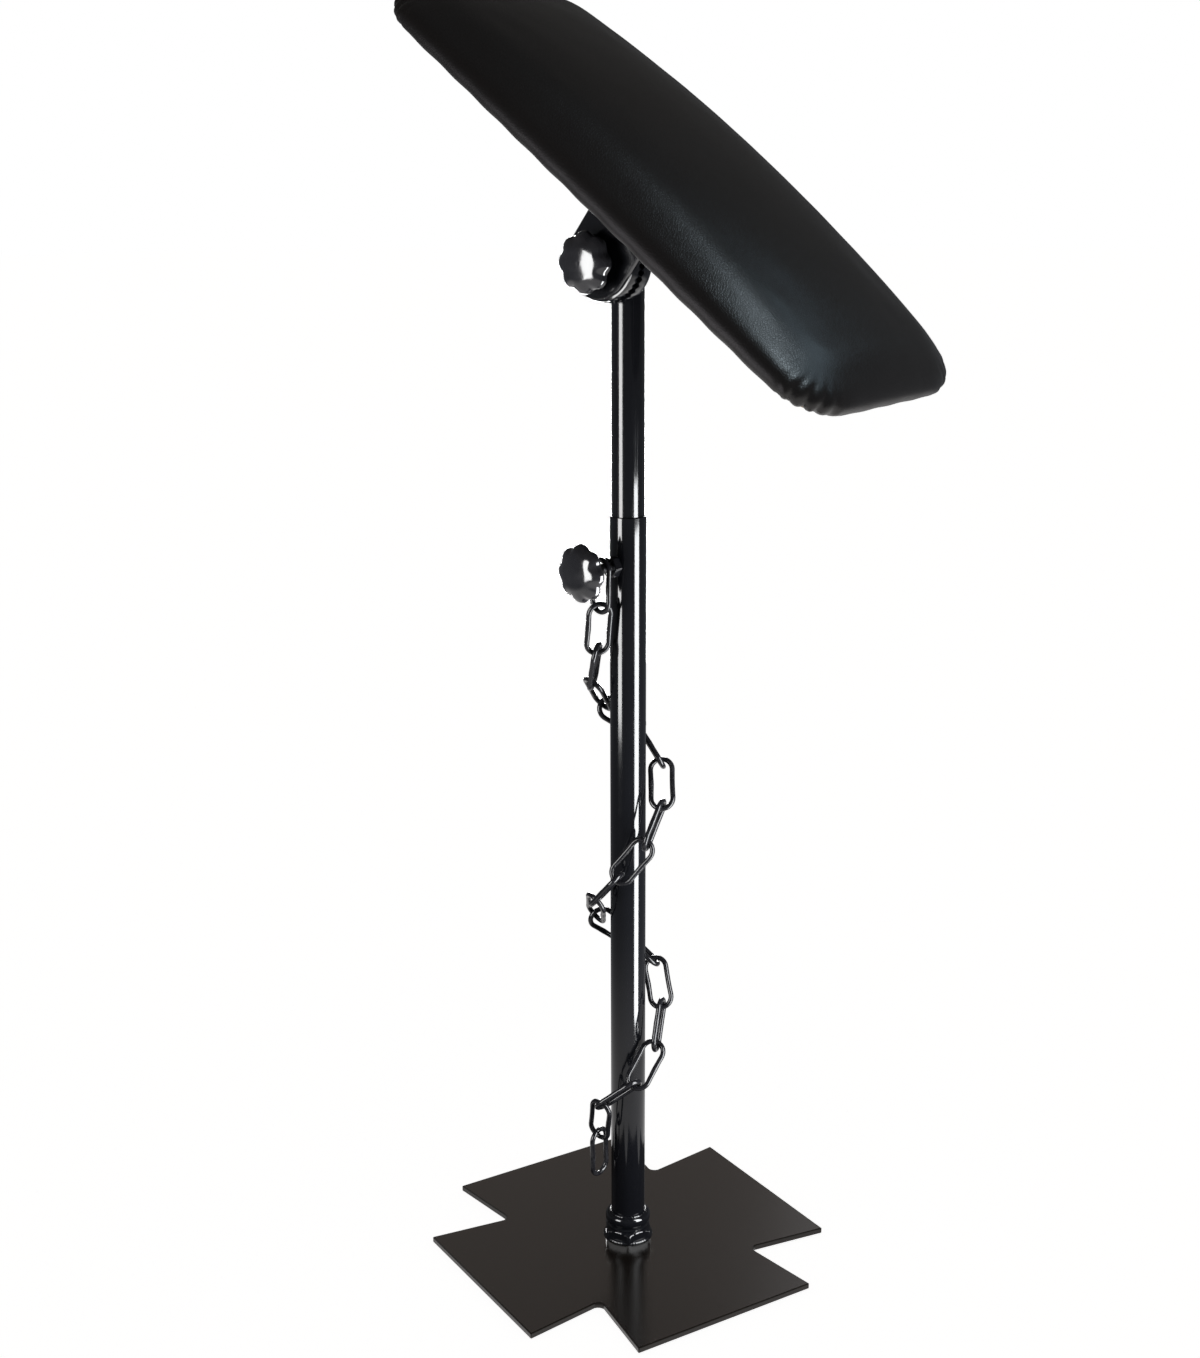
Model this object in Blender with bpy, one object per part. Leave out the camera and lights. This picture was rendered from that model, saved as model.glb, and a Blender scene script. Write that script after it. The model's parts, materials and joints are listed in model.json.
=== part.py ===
"""Adjustable padded arm and leg rest on a telescopic post, in metres with +Z up.

The origin is the middle of the base plate's underside and the plate's four arms lie along X and Y.
The post slides and swivels in the lower tube, and the pad tilts on a toothed hinge at its top.
"""

import math

import bmesh
import bpy
from mathutils import Matrix, Quaternion, Vector

# Gap left between touching solids.
GAP = 0.0003
# Running gap round a bolt or a stud.
BOLT_GAP = 0.0003

# Base plate: a cross whose arms flare slightly outwards.
PLATE_THICKNESS = 0.005
ARM_REACH = 0.142
ARM_TIP_HALF = 0.082
INNER_CORNER = 0.074
INNER_FILLET = 0.006
PLATE_BEVEL = 0.0006

# Post foot.
FOOT_STUD_RADIUS = 0.008
FOOT_NUT_APOTHEM = 0.0182
FOOT_NUT_HEIGHT = 0.0095
COLLAR_RADIUS = 0.0186
COLLAR_HEIGHT = 0.012
FOOT_PLUG_HEIGHT = 0.023

# Telescopic tubes.
LOWER_RADIUS = 0.014
LOWER_WALL = 0.0012
LOWER_TOP = 0.6175
UPPER_RADIUS = LOWER_RADIUS - LOWER_WALL - GAP
UPPER_WALL = 0.0015
UPPER_BOTTOM = 0.360

# Tilt hinge: its axis crosses the post, and the knob sits on the side that KNOB_AZIMUTH points to.
HINGE_HEIGHT = 0.808
KNOB_AZIMUTH = math.radians(201.3)
REST_TILT = math.radians(36.8)
TUBE_ABOVE_HINGE = 0.012
ROSETTE_RADIUS = 0.031
ROSETTE_THICKNESS = 0.0107
ROSETTE_TEETH = 36
TOOTH_DEPTH = 0.0022
EAR_HALF_WIDTH = 0.027
EAR_THICKNESS = 0.005
BOLT_RADIUS = 0.004
WASHER_THICKNESS = 0.0016
WASHER_RADIUS = 0.0085

# Height clamp: the knob's stud presses on the upper tube, and CLAMP_AZIMUTH points out along it.
CLAMP_HEIGHT = 0.580
CLAMP_AZIMUTH = math.radians(192.5)
WELD_NUT_APOTHEM = 0.0072
WELD_NUT_END = 0.0208
CLAMP_WASHER_START = 0.0372

# Star knobs, measured outwards from the back of the neck.
KNOB_RADIUS = 0.0225
KNOB_LOBES = 8
LOBE_DEPTH = 0.0021
NECK_RADIUS = 0.0085
NECK_LENGTH = 0.0055
KNOB_LENGTH = 0.0195
KNOB_BORE_DEPTH = 0.014
INSERT_RADIUS = 0.006

# Pad, measured from the hinge axis along its own normal.
PAD_UNDERSIDE = 0.053
PAD_HALF_LENGTH = 0.232
PAD_HALF_WIDTH = 0.110
PAD_CORNER = 0.046
PAD_WAIST = 0.0065
PAD_CROWN = 0.047
CROWN_DROP_LENGTH = 0.0187
CROWN_DROP_WIDTH = 0.0105
SHOULDER_REACH = 0.040
SHOULDER_POWER = 1.86
# How far in from the edge each loop of the crown lies.
CROWN_INSETS = (0.0, 0.0014, 0.0055, 0.0125, 0.0225, 0.036, 0.060, 0.100)
COVER_THICKNESS = 0.001
BOARD_THICKNESS = 0.010
BOARD_INSET = 0.010
DUST_COVER_THICKNESS = 0.0008
DUST_COVER_INSET = 0.014
MOUNT_HALF_WIDTH = 0.050
MOUNT_HALF_LENGTH = 0.060
MOUNT_THICKNESS = 0.004
SCREW_X = 0.038
SCREW_Y = 0.047
SCREW_RADIUS = 0.0021
SCREW_DEPTH = 0.009

# Chain: oval welded links.
WIRE_RADIUS = 0.00235
LINK_LENGTH = 0.046
LINK_WIDTH = 0.0215
LINK_PITCH = 0.0344
LINK_COUNT = 19
FIRST_LINK_TWIST = math.radians(12.5)
# The links turn this much further about the chain between the first of these links and the last.
ADDED_TWIST = math.radians(90)
ADDED_TWIST_LINKS = (1, 4)
# Route of the chain from the clamp stud down: azimuth in degrees, distance from the post, height.
CHAIN_ROUTE = (
    (192.5, 0.0290, 0.5843),
    (190, 0.0286, 0.550),
    (178, 0.0275, 0.516),
    (152, 0.0275, 0.489),
    (113, 0.0292, 0.468),
    (68, 0.0305, 0.450),
    (20, 0.0292, 0.433),
    (-20, 0.0285, 0.409),
    (-55, 0.0280, 0.385),
    (-95, 0.0280, 0.359),
    (-138, 0.0270, 0.335),
    (-180, 0.0275, 0.313),
    (-225, 0.0292, 0.293),
    (-272, 0.0305, 0.274),
    (-318, 0.0290, 0.257),
    (-362, 0.0275, 0.240),
    (-396, 0.0275, 0.211),
    (-430, 0.0270, 0.182),
    (-460, 0.0285, 0.163),
    (-495, 0.0375, 0.151),
    (-522, 0.0355, 0.136),
    (-538, 0.0290, 0.110),
    (-543, 0.0270, 0.078),
    (-545, 0.0270, 0.046),
)

ROUND_SIDES = 32
SMALL_SIDES = 16
KNOB_SIDES = 40
LINK_ARC_STEPS = 5
SMOOTH_ANGLE = math.radians(32)

PAINT = ("gloss_black_paint", (0.010, 0.010, 0.011), 0.22, 0.0)
PLATE_PAINT = ("satin_black_paint", (0.016, 0.013, 0.012), 0.38, 0.0)
CHAIN_PAINT = ("coated_chain", (0.012, 0.012, 0.012), 0.25, 0.2)
BLACK_PLASTIC = ("black_plastic", (0.014, 0.014, 0.015), 0.24, 0.0)
NYLON = ("white_nylon", (0.72, 0.71, 0.66), 0.45, 0.0)
ZINC = ("zinc_steel", (0.55, 0.55, 0.54), 0.32, 1.0)
BLACK_STEEL = ("black_steel", (0.022, 0.022, 0.023), 0.35, 0.0)
BRASS = ("brass", (0.66, 0.48, 0.18), 0.30, 1.0)
LEATHERETTE = ("black_leatherette", (0.013, 0.014, 0.016), 0.42, 0.0)
PLYWOOD = ("plywood", (0.55, 0.40, 0.24), 0.7, 0.0)
FOAM = ("foam", (0.72, 0.66, 0.42), 0.9, 0.0)
FELT = ("dust_cloth", (0.03, 0.03, 0.03), 0.95, 0.0)

# Frames: the hinge frame's X points at the tilt knob, and its Y along the pad's lower half.
HINGE_FRAME = Matrix.Translation((0, 0, HINGE_HEIGHT)) @ Matrix.Rotation(KNOB_AZIMUTH, 4, "Z")
PAD_FRAME = HINGE_FRAME @ Matrix.Rotation(-REST_TILT, 4, "X")
Z_TO_X = Matrix.Rotation(math.pi / 2, 4, "Y")
CLAMP_FRAME = (
    Matrix.Translation((0, 0, CLAMP_HEIGHT)) @ Matrix.Rotation(CLAMP_AZIMUTH, 4, "Z") @ Z_TO_X
)

# Places along the hinge axis, outwards from the post.
POST_ROSETTE_BACK = UPPER_RADIUS + GAP
ROSETTE_MEETING = POST_ROSETTE_BACK + ROSETTE_THICKNESS
EAR_BACK = ROSETTE_MEETING + ROSETTE_THICKNESS + 2 * GAP
EAR_FRONT = EAR_BACK + EAR_THICKNESS
TILT_WASHER_START = EAR_FRONT + GAP
TILT_KNOB_START = TILT_WASHER_START + WASHER_THICKNESS + GAP
CLAMP_KNOB_START = CLAMP_WASHER_START + WASHER_THICKNESS + GAP

# Levels of the pad, along its normal from the hinge axis.
COVER_UNDERSIDE = PAD_UNDERSIDE + DUST_COVER_THICKNESS + GAP
BOARD_UNDERSIDE = COVER_UNDERSIDE + COVER_THICKNESS + GAP
BOARD_TOP = BOARD_UNDERSIDE + BOARD_THICKNESS
MOUNT_TOP = PAD_UNDERSIDE - GAP
MOUNT_UNDERSIDE = MOUNT_TOP - MOUNT_THICKNESS
EAR_TOP = MOUNT_UNDERSIDE - GAP


def clear_scene():
    for obj in list(bpy.data.objects):
        bpy.data.objects.remove(obj)


def material(finish):
    name, colour, roughness, metallic = finish
    made = bpy.data.materials.get(name)
    if made is None:
        made = bpy.data.materials.new(name)
        made.use_nodes = True
        shader = made.node_tree.nodes["Principled BSDF"]
        shader.inputs["Base Color"].default_value = (*colour, 1)
        shader.inputs["Roughness"].default_value = roughness
        shader.inputs["Metallic"].default_value = metallic
    return made


def empty(name, frame, parent=None):
    """An axis marker that moving pieces hang from."""
    marker = bpy.data.objects.new(name, None)
    bpy.context.scene.collection.objects.link(marker)
    marker.parent = parent
    marker.matrix_local = frame
    marker.empty_display_size = 0.03
    return marker


def piece(name, data, finish, parent=None, frame=None):
    """Adds a sub-part: its mesh or curve, its material, its parent and its place under that parent."""
    obj = bpy.data.objects.new(name, data)
    bpy.context.scene.collection.objects.link(obj)
    if not data.materials:
        data.materials.append(material(finish))
    obj.parent = parent
    obj.matrix_local = frame or Matrix()
    return obj


def finish_mesh(name, shape):
    bmesh.ops.recalc_face_normals(shape, faces=shape.faces)
    mesh = bpy.data.meshes.new(name)
    shape.to_mesh(mesh)
    shape.free()
    mesh.shade_smooth()
    mesh.set_sharp_from_angle(angle=SMOOTH_ANGLE)
    return mesh


def cap(shape, row):
    """Closes a loop that mirrors itself about its first point with strips across it."""
    count = len(row)
    half = count // 2
    shape.faces.new((row[0], row[1], row[-1]))
    for i in range(1, half - 1):
        shape.faces.new((row[i], row[i + 1], row[count - i - 1], row[count - i]))
    shape.faces.new((row[half - 1], row[half], row[half + 1]))


def skin(name, loops, closed=False):
    """Skins loops of equally many points in order. A closed skin joins the last loop to the first."""
    shape = bmesh.new()
    rows = [[shape.verts.new(point) for point in loop] for loop in loops]
    bands = list(zip(rows, rows[1:]))
    if closed:
        bands.append((rows[-1], rows[0]))
    else:
        cap(shape, rows[0])
        cap(shape, rows[-1])
    for low, high in bands:
        for i, corner in enumerate(low):
            shape.faces.new((low[i - 1], corner, high[i], high[i - 1]))
    return finish_mesh(name, shape)


def circle(radius, _angle):
    return radius


def hexagon(apothem, angle):
    return apothem / math.cos((angle % (math.pi / 3)) - math.pi / 6)


def star(radius, angle):
    return radius - LOBE_DEPTH * (0.5 - 0.5 * math.cos(KNOB_LOBES * angle)) ** 1.4


def turned(name, stations, sides=ROUND_SIDES, closed=False):
    """A body about local Z from stations of (radius, height, outline, tooth height)."""
    loops = []
    for radius, height, *extra in stations:
        outline = extra[0] if extra else circle
        tooth = extra[1] if len(extra) > 1 else 0.0
        loop = []
        for i in range(sides):
            angle = 2 * math.pi * i / sides
            reach = outline(radius, angle)
            rise = tooth * (i % 2)
            loop.append((reach * math.cos(angle), reach * math.sin(angle), height + rise))
        loops.append(loop)
    return skin(name, loops, closed)


def pipe(name, outer, inner, low, high, sides=ROUND_SIDES, outline=circle):
    stations = [(inner, low), (outer, low, outline), (outer, high, outline), (inner, high)]
    return turned(name, stations, sides, closed=True)


def rod(name, radius, low, high, sides=SMALL_SIDES):
    return turned(name, [(radius, low), (radius, high)], sides)


def slab(name, outline, low, high):
    """A flat plate between two heights from an outline of (x, y) points."""
    shape = bmesh.new()
    face = shape.faces.new([shape.verts.new((x, y, low)) for x, y in outline])
    raised = bmesh.ops.extrude_face_region(shape, geom=[face])["geom"]
    top = [vert for vert in raised if isinstance(vert, bmesh.types.BMVert)]
    bmesh.ops.translate(shape, verts=top, vec=(0, 0, high - low))
    return finish_mesh(name, shape)


def bevel_edges(obj, width):
    bevel = obj.modifiers.new("edge_bevel", "BEVEL")
    bevel.width = width
    bevel.segments = 1
    bevel.limit_method = "ANGLE"
    bevel.angle_limit = math.radians(50)


def drill(target, cutter_name, radius, low, high, frame, places=((0, 0),)):
    """Cuts round holes along the frame's Z through the target, one at each (x, y) place."""
    shape = bmesh.new()
    for x, y in places:
        middle = Matrix.Translation((x, y, (low + high) / 2))
        bmesh.ops.create_cone(
            shape,
            cap_ends=True,
            segments=SMALL_SIDES,
            radius1=radius,
            radius2=radius,
            depth=high - low,
            matrix=middle,
        )
    cutter = piece(cutter_name, finish_mesh(cutter_name, shape), ZINC, target.parent, frame)
    cutter.hide_render = True
    cutter.display_type = "WIRE"
    cut = target.modifiers.new(cutter_name, "BOOLEAN")
    cut.operation = "DIFFERENCE"
    cut.solver = "EXACT"
    cut.object = cutter


def arc(centre, radius, start, end, steps):
    """Points on an arc from one angle to another, in degrees."""
    points = []
    for i in range(steps + 1):
        angle = math.radians(start + (end - start) * i / steps)
        x = centre[0] + radius * math.cos(angle)
        y = centre[1] + radius * math.sin(angle)
        points.append((x, y))
    return points


# ---------------------------------------------------------------- stand


def base_outline():
    """One quarter is an arm's edge and the filleted corner after it, and the rest are its turns."""
    flare = math.atan2(ARM_TIP_HALF - INNER_CORNER, ARM_REACH - INNER_CORNER)
    half_corner = math.pi / 4 + flare
    centre = INNER_CORNER + INNER_FILLET / math.sin(half_corner) / math.sqrt(2)
    turn = 90 - math.degrees(half_corner)
    fillet = arc((centre, centre), INNER_FILLET, 225 + turn, 225 - turn, 4)
    quarter = [(ARM_REACH, -ARM_TIP_HALF), (ARM_REACH, ARM_TIP_HALF), *fillet]
    outline = []
    for _ in range(4):
        outline += quarter
        quarter = [(-y, x) for x, y in quarter]
    return outline


def build_stand():
    plate = piece("base_plate", slab("base_plate", base_outline(), 0, PLATE_THICKNESS), PLATE_PAINT)
    bevel_edges(plate, PLATE_BEVEL)
    nut_low = PLATE_THICKNESS + GAP
    nut_high = nut_low + FOOT_NUT_HEIGHT
    tube_low = nut_high + GAP
    bore = FOOT_STUD_RADIUS + BOLT_GAP
    stud_top = tube_low + FOOT_PLUG_HEIGHT - 0.003
    piece("foot_stud", rod("foot_stud", FOOT_STUD_RADIUS, nut_low, stud_top), ZINC)
    nut = pipe("foot_nut", FOOT_NUT_APOTHEM, bore, nut_low, nut_high, 36, hexagon)
    piece("foot_nut", nut, PAINT)
    collar = [
        (LOWER_RADIUS + GAP, tube_low),
        (COLLAR_RADIUS - 0.0016, tube_low),
        (COLLAR_RADIUS - 0.0016, tube_low + 0.003),
        (COLLAR_RADIUS, tube_low + 0.0055),
        (COLLAR_RADIUS, tube_low + COLLAR_HEIGHT - 0.0015),
        (COLLAR_RADIUS - 0.0012, tube_low + COLLAR_HEIGHT),
        (LOWER_RADIUS + GAP, tube_low + COLLAR_HEIGHT),
    ]
    piece("foot_collar", turned("foot_collar", collar, closed=True), PAINT)
    inner = LOWER_RADIUS - LOWER_WALL
    plug = pipe("foot_plug", inner - GAP, bore, tube_low, tube_low + FOOT_PLUG_HEIGHT)
    piece("foot_plug", plug, ZINC)
    tube = piece("lower_tube", pipe("lower_tube", LOWER_RADIUS, inner, tube_low, LOWER_TOP), PAINT)
    drill(tube, "clamp_hole", BOLT_RADIUS + BOLT_GAP, 0.008, 0.020, CLAMP_FRAME)
    weld_nut = pipe(
        "height_weld_nut",
        WELD_NUT_APOTHEM,
        BOLT_RADIUS + BOLT_GAP,
        LOWER_RADIUS + GAP,
        WELD_NUT_END,
        36,
        hexagon,
    )
    piece("height_weld_nut", weld_nut, PAINT, frame=CLAMP_FRAME)


# ---------------------------------------------------------------- chain


def route_point(place):
    """A point on the smooth curve through the route, where whole numbers are its own points."""
    last = len(CHAIN_ROUTE) - 1
    index = min(int(place), last - 1)
    part = place - index
    near = [CHAIN_ROUTE[min(max(index + step, 0), last)] for step in (-1, 0, 1, 2)]
    mixed = []
    for a, b, c, d in zip(*near):
        slope = (c - a) / 2
        next_slope = (d - b) / 2
        cubic = (2 * (b - c) + slope + next_slope) * part**3
        square = (3 * (c - b) - 2 * slope - next_slope) * part**2
        mixed.append(cubic + square + slope * part + b)
    azimuth = math.radians(mixed[0])
    return Vector((mixed[1] * math.cos(azimuth), mixed[1] * math.sin(azimuth), mixed[2]))


def link_joints():
    """The points where neighbouring links hold each other, one pitch apart down the route."""
    place = 0.0
    joints = [route_point(place)]
    while len(joints) <= LINK_COUNT:
        place += 0.002
        point = route_point(place)
        if (point - joints[-1]).length >= LINK_PITCH:
            joints.append(point)
    return joints


def link_frames():
    """Each link lies along its two joints, a quarter turn about its length from the one before."""
    joints = link_joints()
    side = Matrix.Rotation(FIRST_LINK_TWIST, 3, "Z") @ Vector((0, 1, 0))
    first, last = ADDED_TWIST_LINKS
    frames = []
    for start, end in zip(joints, joints[1:]):
        along = (end - start).normalized()
        side = (side - along * side.dot(along)).normalized()
        if first <= len(frames) < last:
            side.rotate(Quaternion(along, ADDED_TWIST / (last - first)))
        across = along.cross(side)
        turned_side = side if len(frames) % 2 == 0 else across
        normal = along.cross(turned_side)
        frame = Matrix((along, turned_side, normal)).transposed().to_4x4()
        frame.translation = (start + end) / 2
        frames.append(frame)
    return frames


def link_curve():
    """An oval of round wire: two straight sides and two half circles."""
    end_radius = LINK_WIDTH / 2 - WIRE_RADIUS
    straight = LINK_LENGTH / 2 - WIRE_RADIUS - end_radius
    oval = arc((straight, 0), end_radius, -90, 90, LINK_ARC_STEPS)
    oval += arc((-straight, 0), end_radius, 90, 270, LINK_ARC_STEPS)
    curve = bpy.data.curves.new("chain_link", "CURVE")
    curve.dimensions = "3D"
    curve.bevel_depth = WIRE_RADIUS
    curve.bevel_resolution = 1
    spline = curve.splines.new("POLY")
    spline.points.add(len(oval) - 1)
    for point, (x, y) in zip(spline.points, oval):
        point.co = (x, y, 0, 1)
    spline.use_cyclic_u = True
    spline.use_smooth = True
    return curve


def build_chain():
    curve = link_curve()
    for number, frame in enumerate(link_frames(), 1):
        piece(f"chain_link_{number:02d}", curve, CHAIN_PAINT, frame=frame)


# ---------------------------------------------------------------- knobs


def knob_grip(name, start, bore):
    """A domed star knob with a blind bore, its neck's back face at start."""
    stations = [
        (bore, start + KNOB_BORE_DEPTH),
        (bore, start),
        (NECK_RADIUS - 0.0006, start),
        (NECK_RADIUS, start + 0.0006),
        (NECK_RADIUS, start + NECK_LENGTH),
        (0.7 * KNOB_RADIUS, start + NECK_LENGTH + 0.0012),
        (KNOB_RADIUS - 0.0014, start + NECK_LENGTH + 0.0018, star),
        (KNOB_RADIUS, start + NECK_LENGTH + 0.0035, star),
        (KNOB_RADIUS, start + KNOB_LENGTH - 0.0088, star),
        (0.95 * KNOB_RADIUS, start + KNOB_LENGTH - 0.0066, star),
        (0.80 * KNOB_RADIUS, start + KNOB_LENGTH - 0.0042),
        (0.55 * KNOB_RADIUS, start + KNOB_LENGTH - 0.0019),
        (0.30 * KNOB_RADIUS, start + KNOB_LENGTH - 0.0005),
        (0.10 * KNOB_RADIUS, start + KNOB_LENGTH),
    ]
    return turned(name, stations, KNOB_SIDES)


def washer(name, start):
    bore = BOLT_RADIUS + BOLT_GAP
    return pipe(name, WASHER_RADIUS, bore, start, start + WASHER_THICKNESS, SMALL_SIDES)


def build_height_knob():
    axis = empty("height_knob_axis", CLAMP_FRAME)
    piece("height_washer", washer("height_washer", CLAMP_WASHER_START), BLACK_STEEL, axis)
    tip = UPPER_RADIUS + 0.0004
    stud_end = CLAMP_KNOB_START + KNOB_BORE_DEPTH - GAP
    stud = [
        (BOLT_RADIUS - 0.0008, tip),
        (BOLT_RADIUS, tip + 0.001),
        (BOLT_RADIUS, stud_end),
    ]
    piece("height_knob_stud", turned("height_knob_stud", stud, SMALL_SIDES), BLACK_STEEL, axis)
    grip = knob_grip("height_knob_grip", CLAMP_KNOB_START, BOLT_RADIUS + BOLT_GAP)
    piece("height_knob_grip", grip, BLACK_PLASTIC, axis)


def build_tilt_knob(swivel):
    axis = empty("tilt_knob_axis", HINGE_FRAME @ Z_TO_X, swivel)
    piece("tilt_washer", washer("tilt_washer", TILT_WASHER_START), BLACK_STEEL, axis)
    bore = INSERT_RADIUS + GAP
    piece("tilt_knob_grip", knob_grip("tilt_knob_grip", TILT_KNOB_START, bore), BLACK_PLASTIC, axis)
    insert_end = TILT_KNOB_START + KNOB_BORE_DEPTH - GAP
    insert = pipe(
        "tilt_knob_insert",
        INSERT_RADIUS,
        BOLT_RADIUS + BOLT_GAP,
        TILT_KNOB_START,
        insert_end,
        SMALL_SIDES,
    )
    piece("tilt_knob_insert", insert, BRASS, axis)


# ---------------------------------------------------------------- sliding post


def build_glide(swivel):
    """The nylon bush that guides the post's lower end, the screw that holds it and the plug above it."""
    inner = UPPER_RADIUS - UPPER_WALL
    flange_low = UPPER_BOTTOM - GAP - 0.003
    plug = [
        (0.0033, flange_low),
        (UPPER_RADIUS - 0.0002, flange_low),
        (UPPER_RADIUS - 0.0002, UPPER_BOTTOM - GAP),
        (inner - GAP, UPPER_BOTTOM - GAP),
        (inner - GAP, UPPER_BOTTOM + 0.016),
        (0.0033, UPPER_BOTTOM + 0.016),
    ]
    piece("tube_end_plug", turned("tube_end_plug", plug, closed=True), BLACK_PLASTIC, swivel)
    bush_high = flange_low - GAP
    bush_low = bush_high - 0.016
    bush = pipe("glide_bush", UPPER_RADIUS, 0.0036, bush_low, bush_high)
    piece("glide_bush", bush, NYLON, swivel)
    head_top = bush_low - GAP
    screw = [
        (0.0045, head_top - 0.004),
        (0.0055, head_top - 0.003),
        (0.0055, head_top),
        (0.0030, head_top),
        (0.0030, UPPER_BOTTOM + 0.014),
    ]
    piece("glide_screw", turned("glide_screw", screw, SMALL_SIDES), ZINC, swivel)


def rosette_stations(back, face, outer, bore):
    """A disc toothed on one side: back is its flat side and face the height of the tooth tips."""
    step = TOOTH_DEPTH if face < back else -TOOTH_DEPTH
    root = face + step
    inner = outer * 0.58
    edge = 0.0008 if back < face else -0.0008
    return [
        (bore, back),
        (outer - abs(edge), back),
        (outer, back + edge),
        (outer, root, circle, -step),
        (inner, root, circle, -step),
        (inner - 0.001, root + step / 3),
        (bore, root + step / 3),
    ]


def build_upper_post(swivel):
    top = HINGE_HEIGHT + TUBE_ABOVE_HINGE
    inner = UPPER_RADIUS - UPPER_WALL
    tube = piece("upper_tube", pipe("upper_tube", UPPER_RADIUS, inner, UPPER_BOTTOM, top), PAINT, swivel)
    along_hinge = HINGE_FRAME @ Z_TO_X
    drill(tube, "hinge_bolt_hole", BOLT_RADIUS + BOLT_GAP, -0.020, 0.020, along_hinge)
    tube_cap = [
        (inner - GAP, top - 0.005),
        (inner - GAP, top + GAP),
        (UPPER_RADIUS, top + GAP),
        (UPPER_RADIUS, top + 0.0015),
        (UPPER_RADIUS - 0.0015, top + 0.003),
    ]
    piece("tube_cap", turned("tube_cap", tube_cap), BLACK_PLASTIC, swivel)
    bore = BOLT_RADIUS + BOLT_GAP
    stations = rosette_stations(POST_ROSETTE_BACK, ROSETTE_MEETING, ROSETTE_RADIUS, bore)
    disc = turned("post_rosette", stations, 2 * ROSETTE_TEETH, closed=True)
    piece("post_rosette", disc, PAINT, swivel, along_hinge)
    head_front = -UPPER_RADIUS - GAP
    bolt = [
        (0.0060, head_front - 0.0053, hexagon),
        (0.0065, head_front - 0.0048, hexagon),
        (0.0065, head_front, hexagon),
        (BOLT_RADIUS, head_front),
        (BOLT_RADIUS, TILT_KNOB_START + KNOB_BORE_DEPTH - 0.002),
    ]
    piece("tilt_bolt", turned("tilt_bolt", bolt, 24), BLACK_STEEL, swivel, along_hinge)


# ---------------------------------------------------------------- pad


def pad_outline(inset):
    """The pad's rounded rectangle drawn in by an inset, from the middle of its lower end round."""
    half_length = PAD_HALF_LENGTH - inset
    half_width = PAD_HALF_WIDTH - inset
    corner = max(PAD_CORNER - inset, 0.0005)
    side = half_width - corner
    run = half_length - corner
    quarter = [(side * i / 2, half_length) for i in range(2)]
    quarter += arc((side, run), corner, 90, 0, 5)
    quarter += [(half_width, run * i / 5) for i in (4, 3, 2, 1)]
    lower = quarter + [(half_width, 0)] + [(x, -y) for x, y in reversed(quarter)]
    return lower + [(-x, y) for x, y in reversed(lower[1:-1])]


def pad_top(inset, shrink, x, y):
    """Height of the crowned top above the waist at a place that lies an inset in from the edge."""
    rise = 1 - (1 - min(inset / SHOULDER_REACH, 1)) ** SHOULDER_POWER
    edge = rise ** (1 / SHOULDER_POWER)
    drop = CROWN_DROP_LENGTH * (y / PAD_HALF_LENGTH) ** 2 + CROWN_DROP_WIDTH * (x / PAD_HALF_WIDTH) ** 2
    return (PAD_CROWN - shrink - drop) * edge


def crown_loops(shrink, first=0):
    """Loops from the pad's waist up to its crown, drawn in everywhere by shrink."""
    waist = COVER_UNDERSIDE + PAD_WAIST
    loops = []
    for inset in CROWN_INSETS[first:]:
        loop = pad_outline(inset + shrink)
        loops.append([(x, y, waist + pad_top(inset, shrink, x, y)) for x, y in loop])
    return loops


def flat_loop(inset, level):
    return [(x, y, level) for x, y in pad_outline(inset)]


def cover_mesh():
    """A thin skin over the crown, rolled round the edge and turned in under the board."""
    low = COVER_UNDERSIDE
    inner_low = low + COVER_THICKNESS
    inside = list(reversed(crown_loops(COVER_THICKNESS)))
    inside += [flat_loop(0.0035, inner_low + 0.0012), flat_loop(0.0085, inner_low)]
    inside += [flat_loop(0.030, inner_low)]
    outside = [flat_loop(0.030, low), flat_loop(0.0075, low), flat_loop(0.0022, low + 0.0015)]
    outside += crown_loops(0.0)
    return skin("pad_cover", inside + outside)


def foam_mesh():
    """The foam block on the board, just inside the cover."""
    loops = [flat_loop(0.0062, BOARD_TOP + GAP)]
    loops += crown_loops(COVER_THICKNESS + 2 * GAP, 2)
    return skin("pad_foam", loops)


def mounting_plate_outline():
    radius = 0.010
    x = MOUNT_HALF_WIDTH - radius
    y = MOUNT_HALF_LENGTH - radius
    corners = (((x, y), 0), ((-x, y), 90), ((-x, -y), 180), ((x, -y), 270))
    outline = []
    for centre, start in corners:
        outline += arc(centre, radius, start, start + 90, 4)
    return outline


def ear_outline():
    """The ear's U shape as (x, y), with x across the pad's length and y towards the pad."""
    outline = arc((0, 0), EAR_HALF_WIDTH, 180, 360, 18)
    return [*outline, (EAR_HALF_WIDTH, EAR_TOP), (-EAR_HALF_WIDTH, EAR_TOP)]


def ear_frame():
    """Turns a plate drawn in x and y so that it stands across the hinge axis, facing the knob."""
    return Matrix(((0, 0, 1, 0), (1, 0, 0, 0), (0, 1, 0, 0), (0, 0, 0, 1)))


def build_hinge_half(tilt):
    ear = piece("pad_ear", slab("pad_ear", ear_outline(), EAR_BACK, EAR_FRONT), PAINT, tilt, ear_frame())
    bevel_edges(ear, 0.0006)
    drill(ear, "ear_bolt_hole", BOLT_RADIUS + BOLT_GAP, EAR_BACK - 0.002, EAR_FRONT + 0.002, ear_frame())
    bore = BOLT_RADIUS + BOLT_GAP
    stations = rosette_stations(EAR_BACK - GAP, ROSETTE_MEETING + GAP, ROSETTE_RADIUS - 0.002, bore)
    disc = turned("pad_rosette", stations, 2 * ROSETTE_TEETH, closed=True)
    piece("pad_rosette", disc, PAINT, tilt, Z_TO_X)


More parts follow.
